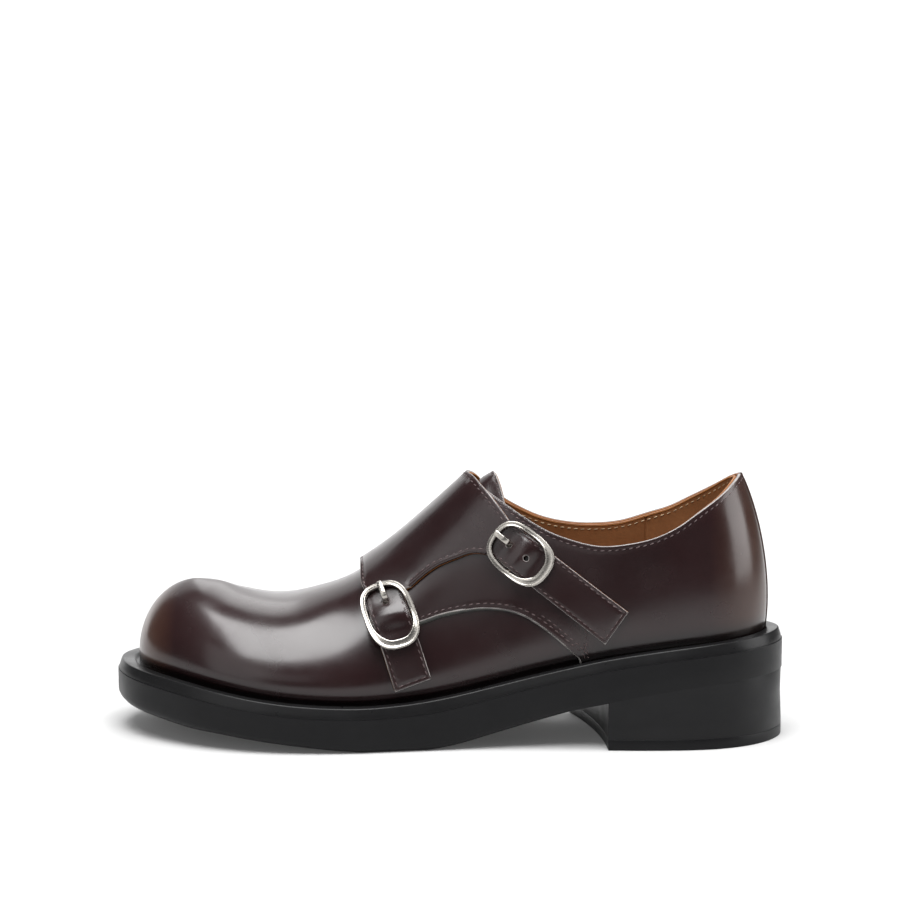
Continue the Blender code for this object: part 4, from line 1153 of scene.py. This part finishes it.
def wall_piece(name, stations, part, short, heights, finish, node, slot, worn_and_shaded=False):
    """Closed sheet over both sides of the wall, up to a little short of the collar's edge.

    part are the shares of its height where its points lie; heights(s, v, x) gives the heights
    of its outer and its inner face.
    """
    outer, inner, wear_and_shade, faces = [], [], [], []
    for side in (0, 1):
        top = collar_t(side, stations)
        top = np.where(top < 1, top - short, top)
        s = np.repeat(stations[:, None], len(part), axis=1)
        t = np.where(part < 0, part, top[:, None] * part)
        v = t if side == 0 else 2 - t
        faces += grid_faces(*s.shape, len(outer), flip=side == 1)
        for points, height in zip((outer, inner), heights(s, v, skin(side, s, t)[..., 0])):
            points.extend(skin(side, s, t, height).reshape(-1, 3))
        # Painted shade above the welt, kept as negative values.
        wear_and_shade.extend(-welt_shade(v).reshape(-1))
    rounded = np.round(outer, 3)
    _, first, back_to = np.unique(rounded, axis=0, return_index=True, return_inverse=True)
    welded = first[back_to.reshape(-1)]
    sheet = [list(dict.fromkeys(welded[face].tolist())) for face in faces]
    sheet = [face for face in sheet if len(face) > 2]
    number = len(outer)
    joined = sheet + [[number + index for index in reversed(face)] for face in sheet]
    joined += [[b, a, number + a, number + b] for a, b in open_edges(sheet)]
    used = np.unique(np.concatenate(joined))
    renumber = np.full(2 * number, -1)
    renumber[used] = np.arange(len(used))
    joined = [renumber[face].tolist() for face in joined]
    points = np.array(outer + inner)[used]
    wear_and_shade = np.array(wear_and_shade + wear_and_shade)[used] if worn_and_shaded else None
    add_piece(name, points, joined, [finish], node, wear_and_shade=wear_and_shade)


def build_vamp():
    """Outer leather of the toe and vamp, from welt to welt, that the quarters lie on."""
    part = np.concatenate([[-0.05, -0.025], np.linspace(0, 1, 55)])
    heights = lambda s, v, x: (softness(s, v), -SKIN_DEEP)
    # Its last value keeps the painted shade above the welt.
    look = (BURGUNDY, "upper", "burgundy_leather", True)
    wall_piece("vamp_leather", wall_stations(), part, VAMP_SHORT, heights, *look)


def inner_height(s, v):
    """Height of the lining's face."""
    return -WALL - 0.5 * softness(s, v)


def build_lining():
    """Tan lining on the inside of the wall, with a seam on each side of the heel."""
    seam = lambda x: np.exp(-(((x - LINING_SEAM_X) / SEAM_WIDTH) ** 2))
    outer = -SKIN_DEEP - LINING_GAP
    heights = lambda s, v, x: (outer, inner_height(s, v) + SEAM_DEPTH * seam(x))
    stations = wall_stations(station(LINING_SEAM_X + np.linspace(-2.5, 2.5, 21)))
    look = (TAN, None, "tan_leather")
    wall_piece("collar_lining", stations, np.linspace(0, 1, 44), 0, heights, *look)


def build_collar_roll():
    """Rolled rim of the lining, round the whole opening."""
    s = np.linspace(station(THROAT_X + 3), 1, 260)
    outer, inner = (np.stack([s, v], axis=1) for v in (collar_t(0, s), 2 - collar_t(1, s)))
    line = np.concatenate([outer, inner[-2::-1]])
    centres = on_last(line, -WALL / 2 - 0.02) - (0, 0, ROLL_HIGH + 0.15)
    ups = np.broadcast_to([0.0, 0.0, 1.0], centres.shape)
    points, faces = tube(centres, ups, WALL / 2 + 0.03, ROLL_HIGH, squared_turn(12))
    add_piece("collar_rolled_rim", points, faces, [TAN_EDGE], None, 60)


# ---- quarters, flap and tongue
# Radii of the arch's bevel of painted highlight and of its band of painted shade, at the strap and
# near the welt.
ARCH_BEVEL, ARCH_THIN = 1.6, 0.85
ARCH_SHADE, ARCH_THIN_SHADE = 1.22, 0.35
# Shares of the arch's length between which its bevel thins out, in steps.
ARCH_THINS = (0.62, 0.92, 14)
FOLD_BEVEL = 1.0
# Distance in s by which the leather's front edges lean back below the welt.
FOOT_LEAN = 0.008
# The flap's underside is FLAP_SINK lower than the solid's, and lies FLAP_LOW above the wall
# where no outer quarter is under it.
FLAP_SINK, FLAP_LOW = 0.3, 0.1
# Distances from the edges to the rows of stitches.
ARCH_INSET, SECOND_ROW, TOP_INSET = ARCH_BEVEL + 1.1, 1.5, 1.9
FRONT_INSET, STRAP_INSET, FOLD_INSET, RIM_INSET = 1.25, 1.35, 1.8, 2.0
# Share of the arch's length from which it has a second row.
DOUBLE_FROM = 0.77
QUARTER_LIFT = 0.03
# Spacing of the points inside a panel.
PANEL_SPACING, TONGUE_SPACING = 1.6, 1.8


def arch_bevels(front):
    """Bevels along the arch: a pale line of painted highlight over a band of painted shade, both
    thinner towards the welt.
    """
    start, end, steps = ARCH_THINS
    cuts = [int(share * (len(front) - 1)) for share in (0, *np.linspace(start, end, steps), 1)]
    bevels = []
    for wide, thin, finish in ((ARCH_BEVEL, ARCH_THIN, 1), (ARCH_SHADE, ARCH_THIN_SHADE, 3)):
        for k, (first, last) in enumerate(zip(cuts, cuts[1:])):
            bevels.append((front[first : last + 1], wide + (thin - wide) * (k / steps), finish))
    return bevels


def quarter_base(_, v):
    return np.full_like(v, QUARTER_LIFT)


def build_lateral_quarter():
    """Outer quarter: an arched front over the vamp, the collar and the back seam."""
    front = curve_through(drawn(QUARTER_FRONT))
    front = np.concatenate([front[:-1], straight(front[-1], (front[-1][0] + FOOT_LEAN, FOOT_V))])
    foot = straight(front[-1], (BACK_SEAM, FOOT_V))
    top = collar_line(0, THROAT_X + 1.5)[::-1]
    back = straight((BACK_SEAM, FOOT_V), (BACK_SEAM, top[0][1]))
    sections = [front, foot, back, top, straight(top[-1], front[0])]
    turn = way_round(edge_of(sections))
    double_from = DOUBLE_FROM * walked(on_last(front))[-1]
    rows = [
        stitched_line(front, ARCH_INSET * turn, 1.0, 0.5),
        stitched_line(top, TOP_INSET * turn, 0.4, 1.0),
        stitched_line(front, (ARCH_INSET + SECOND_ROW) * turn, double_from, 0.5),
    ]
    finishes = [BURGUNDY, CUT_EDGE_WITH_HIGHLIGHT, DARK_EDGE, SHADED_EDGE]
    bevels = [*arch_bevels(front), (back, EDGE_ROUND, 0)]
    thickness = QUARTER_THICK + SHEET_GAP
    panel(
        "lateral_quarter", sections, quarter_base, thickness, PANEL_SPACING, finishes, rows,
        bevels=bevels,
    )
    return rows[1]


def strap_sides(line, start_lower, start_upper):
    """The upper side, end and lower side of a strap's free end, as lines of places."""
    half = STRAP_WIDTH / 2
    lower = line.place(np.linspace(start_lower, line.length, 60), half)
    end = line.place(np.full(24, line.length), np.linspace(half, -half, 24))
    upper = line.place(np.linspace(line.length, start_upper, 60), -half)
    return [resampled(side, STRAP_STEP)[::-1] for side in (upper, end, lower)]


def round_hole(line, along, radius):
    turn = np.arange(28) * 2 * math.pi / 28
    return line.place(along + radius * np.cos(turn), radius * np.sin(turn))


def flap_base(s, v):
    """Height of the flap's underside: it rides over the outer quarter and domes in the buckles."""
    on_inner = smooth(1.02, 1.32, v)
    on_vamp = (1 - smooth(0.12, 0.3, v)) * (s < station(THROAT_X))
    high = FLAP_LIFT - FLAP_SINK
    base = high + (FLAP_LOW - high) * np.maximum(on_inner, on_vamp)
    return base + dome(LOWER, s, v) + dome(UPPER, s, v)


def build_flap():
    """Inner quarter, its flap over the instep and the two straps, cut from one piece."""
    front = curve_through(drawn(FLAP_FRONT))
    foot_start = (front[0][0] + FOOT_LEAN, 2 - FOOT_V)
    front = np.concatenate([straight(foot_start, front[0])[:-1], front])
    lower, upper = strap_sides(LOWER, *LOWER_STARTS), strap_sides(UPPER, *UPPER_STARTS)
    middle, rear = curve_through(drawn(FLAP_LOWER)), curve_through(drawn(FLAP_REAR))
    collar = collar_line(1, FLAP_COLLAR_X)
    back = straight((BACK_SEAM, collar[-1][1]), (BACK_SEAM, 2 - FOOT_V))
    foot = straight((BACK_SEAM, 2 - FOOT_V), front[0])
    join = lambda a, b: straight(a[-1], b[0])
    rim = [rear, join(rear, collar), collar]
    sections = [
        front, join(front, lower[0]), *lower, join(lower[-1], middle), middle,
        join(middle, upper[0]), *upper, join(upper[-1], rear), *rim, back, foot,
    ]
    turn = way_round(edge_of(sections))
    rows = [stitched_line(front, FRONT_INSET * turn, 2.0, 0.5)]
    short = (STRAP_INSET, STRAP_INSET)
    rows += [stitched_line(side, STRAP_INSET * turn, *short) for side in (*lower, *upper)]
    rows.append(stitched_line(middle, FOLD_INSET * turn, 0.5, 0.5))
    rim = np.concatenate([edge_of(rim), collar[-1:]])
    rows.append(stitched_line(rim, RIM_INSET * turn, 0.5, 0.4))
    holes = [round_hole(line, PRONG_HOLE_AT, HOLE_RADIUS) for line in (LOWER, UPPER)]
    holes.append(round_hole(UPPER, SPARE_HOLE_AT, SPARE_HOLE_RADIUS))
    finishes = [BURGUNDY, CUT_EDGE_WITH_HIGHLIGHT, TAN_EDGE, DARK_EDGE]
    bevels = [(middle, FOLD_BEVEL, 0), (collar, EDGE_ROUND, 3), (back, EDGE_ROUND, 0)]
    panel(
        "medial_quarter_flap", sections, flap_base, FLAP_THICK + FLAP_SINK, PANEL_SPACING,
        finishes, rows, holes, bevels,
    )
    return rows[-1]


def tongue_base(s, _):
    """Underside of the tongue: its free end bends down a little towards the foot."""
    first, last = station(np.array(TONGUE_BENDS))
    return -(WALL + TONGUE_GAP + TONGUE_THICK) - TONGUE_DIP * smooth(first, last, s)


def build_tongue():
    edge = curve_through(drawn((*TONGUE_EDGE, TONGUE_EDGE[0])), STRAP_STEP)
    rows = [stitched_line(edge, way_round(edge[:-1]), 1.0, 1.0)]
    finishes = [BURGUNDY, CUT_EDGE_WITH_HIGHLIGHT, TAN]
    panel("tongue", [edge], tongue_base, TONGUE_THICK, TONGUE_SPACING, finishes, rows)


# ---- buckles
EASING_ROUNDS = 30
# Half the band's size, as a part of its width and of the wire's.
BAND_HALF = 0.54
def frame_height(along):
    """Offset of the frame's wire: it dips between its ends to meet the middle bar."""
    over = FLAP_LIFT + FLAP_THICK + 2 * GAP + FRAME_WIRE / 2
    return over - FRAME_DIP * np.clip(1 - (along / DIP_REACH) ** 2, 0, 1) ** 2


def eased(loop):
    """Closed loop of points with its small kinks averaged out."""
    for _ in range(EASING_ROUNDS):
        loop = (np.roll(loop, 1, 0) + 2 * loop + np.roll(loop, -1, 0)) / 4
    return loop


def build_frame(name, line):
    """Buckle frame: a rounded outer band and a lower inner lip, wider at the strap's end."""
    count = 240
    along, across = squared_turn(count, FRAME_SQUARENESS)
    broad = smooth(0.0, 0.9, np.cos(np.arange(count) * 2 * math.pi / count))
    width = FRAME_WIRE + (FRAME_BROAD - FRAME_WIRE) * broad
    loop = [(FRAME_LONG - width / 2) * along, (FRAME_WIDE - width / 2) * across, width]
    along, across, width = even_loop(np.stack(loop, axis=1), count=count, width=2).T
    height = frame_height(along)
    centres = line.point(along, across, height)
    ups = eased(line.point(along, across, height + 1.0) - centres)
    centres = eased(centres)
    wide, high = BAND_HALF * width, BAND_HALF * FRAME_WIRE
    points, faces = tube(centres, ups, wide, high, zip(*FRAME_SECTION), closed=True)
    reach = FRAME_WIDE - FRAME_WIRE / 2
    across = np.linspace(-reach, reach, 25)
    height = FLAP_LIFT + BAR_RADIUS - 0.45 + BAR_RISE * (across / reach) ** 6
    spots = line.point(np.zeros(25), across, height)
    ups = line.point(np.zeros(25), across, height + 1.0) - spots
    more, bar = tube(spots, ups, BAR_RADIUS, BAR_RADIUS, squared_turn(12))
    faces += [[len(points) + index for index in face] for face in bar]
    points = np.concatenate([points, more])
    add_piece(name + "_satin", points, faces, [STEEL], name, 60)


def build_prong(name, line):
    """Prong through the strap's hole, flattened where it rests over the end of the frame."""
    over = FLAP_LIFT + FLAP_THICK + 3 * GAP + FRAME_WIRE + PRONG_THIN
    top, at, tip = FLAP_LIFT + FLAP_THICK, PRONG_HOLE_AT, -FRAME_LONG
    path = np.array(
        (
            (at + 0.25, FLAP_LIFT + 0.6), (at + 0.2, top), (at - 0.1, top + 1.1),
            (at - 0.8, over - 0.8), (at - 2, over - 0.12), (at - 3.6, over + 0.05),
            (tip + 2.4, over + 0.1), (tip + 1.2, over + 0.05), (tip + 0.5, over - 0.15),
        )
    )
    length = walked(path)
    where = np.linspace(0, length[-1], 64)
    along, height = (hermite(length, column, where) for column in path.T)
    across = np.full_like(along, PRONG_ASIDE)
    centres = line.point(along, across, height)
    side = line.point(along, across + 1.0, height) - centres
    taper = 1 - 0.2 * smooth(length[-1] - 0.5, length[-1], where)
    taper = taper * (1 - 0.2 * (1 - smooth(0.0, 1.0, where)))
    section = squared_turn(20, 4)
    points, faces = tube(centres, side, PRONG_THIN * taper, PRONG_BROAD * taper, section)
    add_piece(name + "_satin", points, faces, [STEEL], name, 60)


# ---- all pieces
build_outsole()
build_heel()
build_welt()
build_insole()
build_vamp()
build_lining()
build_collar_roll()
build_tongue()
collar_rows = [build_lateral_quarter(), build_flap()]
stitches("collar_lining_stitches", collar_rows, inner_height, PALE_THREAD, inward=True)
for which, strap_line in (("lower", LOWER), ("upper", UPPER)):
    build_frame(which + "_buckle_frame", strap_line)
    build_prong(which + "_buckle_prong", strap_line)


# ---- floor, light and camera
def stage_finish(name, tones, glows):
    """Matt grey that grows paler, and glows more, from in front of the shoe to behind it."""
    white = (1.0, 1.0, 1.0)
    f = Finish(name, (tones[1],) * 3, Roughness=0.9, Specular_IOR_Level=0.0, Emission_Color=white)
    x, y = (f.node("SeparateXYZ", {"Vector": f.where}, axis) for axis in "XY")
    tone = f.times(f.ranged(y, -0.8, -0.3, *tones), f.ranged(x, 0.4, 0.9, 1, 0.35))
    grey = f.node("CombineColor", {"Red": tone, "Green": tone, "Blue": tone}, "Color")
    glow = f.times(f.ranged(y, 0.15, 1.2, *glows), f.ranged(x, 0.55, 1, 1, 0.25))
    f.set({"Base Color": grey, "Emission Strength": glow})
    return f.made


def stage_plane(name, corners, finish):
    mesh = bpy.data.meshes.new(name)
    mesh.from_pydata(corners, [], [(0, 1, 2, 3)])
    mesh.materials.append(finish)
    placed(name, mesh)


BACKDROP_LEFT, BACKDROP_RIGHT = -1.70, 0.55
BACKDROP_Y, BACKDROP_LOW, BACKDROP_TOP = 1.6, -0.1, 2.2
stage_plane(
    "backdrop",
    [(BACKDROP_LEFT, BACKDROP_Y, BACKDROP_LOW), (BACKDROP_RIGHT, BACKDROP_Y, BACKDROP_LOW),
     (BACKDROP_RIGHT, BACKDROP_Y, BACKDROP_TOP), (BACKDROP_LEFT, BACKDROP_Y, BACKDROP_TOP)],
    stage_finish("pale_backdrop", (0.5, 0.5), (1.0, 1.0)),
)
FLOOR_REACH = 4.0
# Just under the sole, so that the two don't share a plane.
FLOOR_Z = -2e-5
stage_plane(
    "floor",
    [(-FLOOR_REACH, -FLOOR_REACH, FLOOR_Z), (FLOOR_REACH, -FLOOR_REACH, FLOOR_Z),
     (FLOOR_REACH, FLOOR_REACH, FLOOR_Z), (-FLOOR_REACH, FLOOR_REACH, FLOOR_Z)],
    stage_finish("pale_floor", (0.22, 0.46), (0.06, 0.85)),
)

scene = bpy.context.scene
world = bpy.data.worlds.new("studio")
world.use_nodes = True
background = world.node_tree.nodes["Background"]
feed(background.inputs["Color"], (1.0, 1.0, 1.0))
feed(background.inputs["Strength"], 0.13)
scene.world = world

# Soft boxes: name, place, wide, high, radiance. Each faces the shoe.
BOXES = (
    ("overhead", (-0.03, -0.34, 1.36), 1.14, 1.23, 10.5),
    ("right_strip", (1.0, -0.08, 0.46), 0.60, 0.92, 4.0),
    ("left_front", (-0.78, -0.86, 0.52), 0.80, 1.1, 1.1),
    ("front", (-0.38, -1.38, 0.60), 0.62, 0.46, 0.66),
    ("high_back", (0.05, 1.35, 1.30), 1.0, 1.1, 2.4),
)
for name, spot, wide, high, radiance in BOXES:
    data = bpy.data.lights.new(name, "AREA")
    data.shape = "RECTANGLE"
    data.size, data.size_y = wide, high
    data.energy = radiance * math.pi * wide * high
    light = placed(name, data)
    light.visible_camera = False
    light.location = spot
    aim = Vector((cad_low + cad_high) / 2) - Vector(spot)
    light.rotation_euler = aim.to_track_quat("-Z", "Y").to_euler()

camera_data = bpy.data.cameras.new("camera")
camera_data.lens = 97.9
camera_data.sensor_width = 36.0
camera_data.clip_start = 0.05
camera = placed("camera", camera_data)
camera.location = (0.00117, -1.00965, 0.240)
camera.rotation_euler = (math.radians(90.0 - 6.953), 0.0, 0.0)
scene.camera = camera
scene.view_settings.view_transform = "Standard"
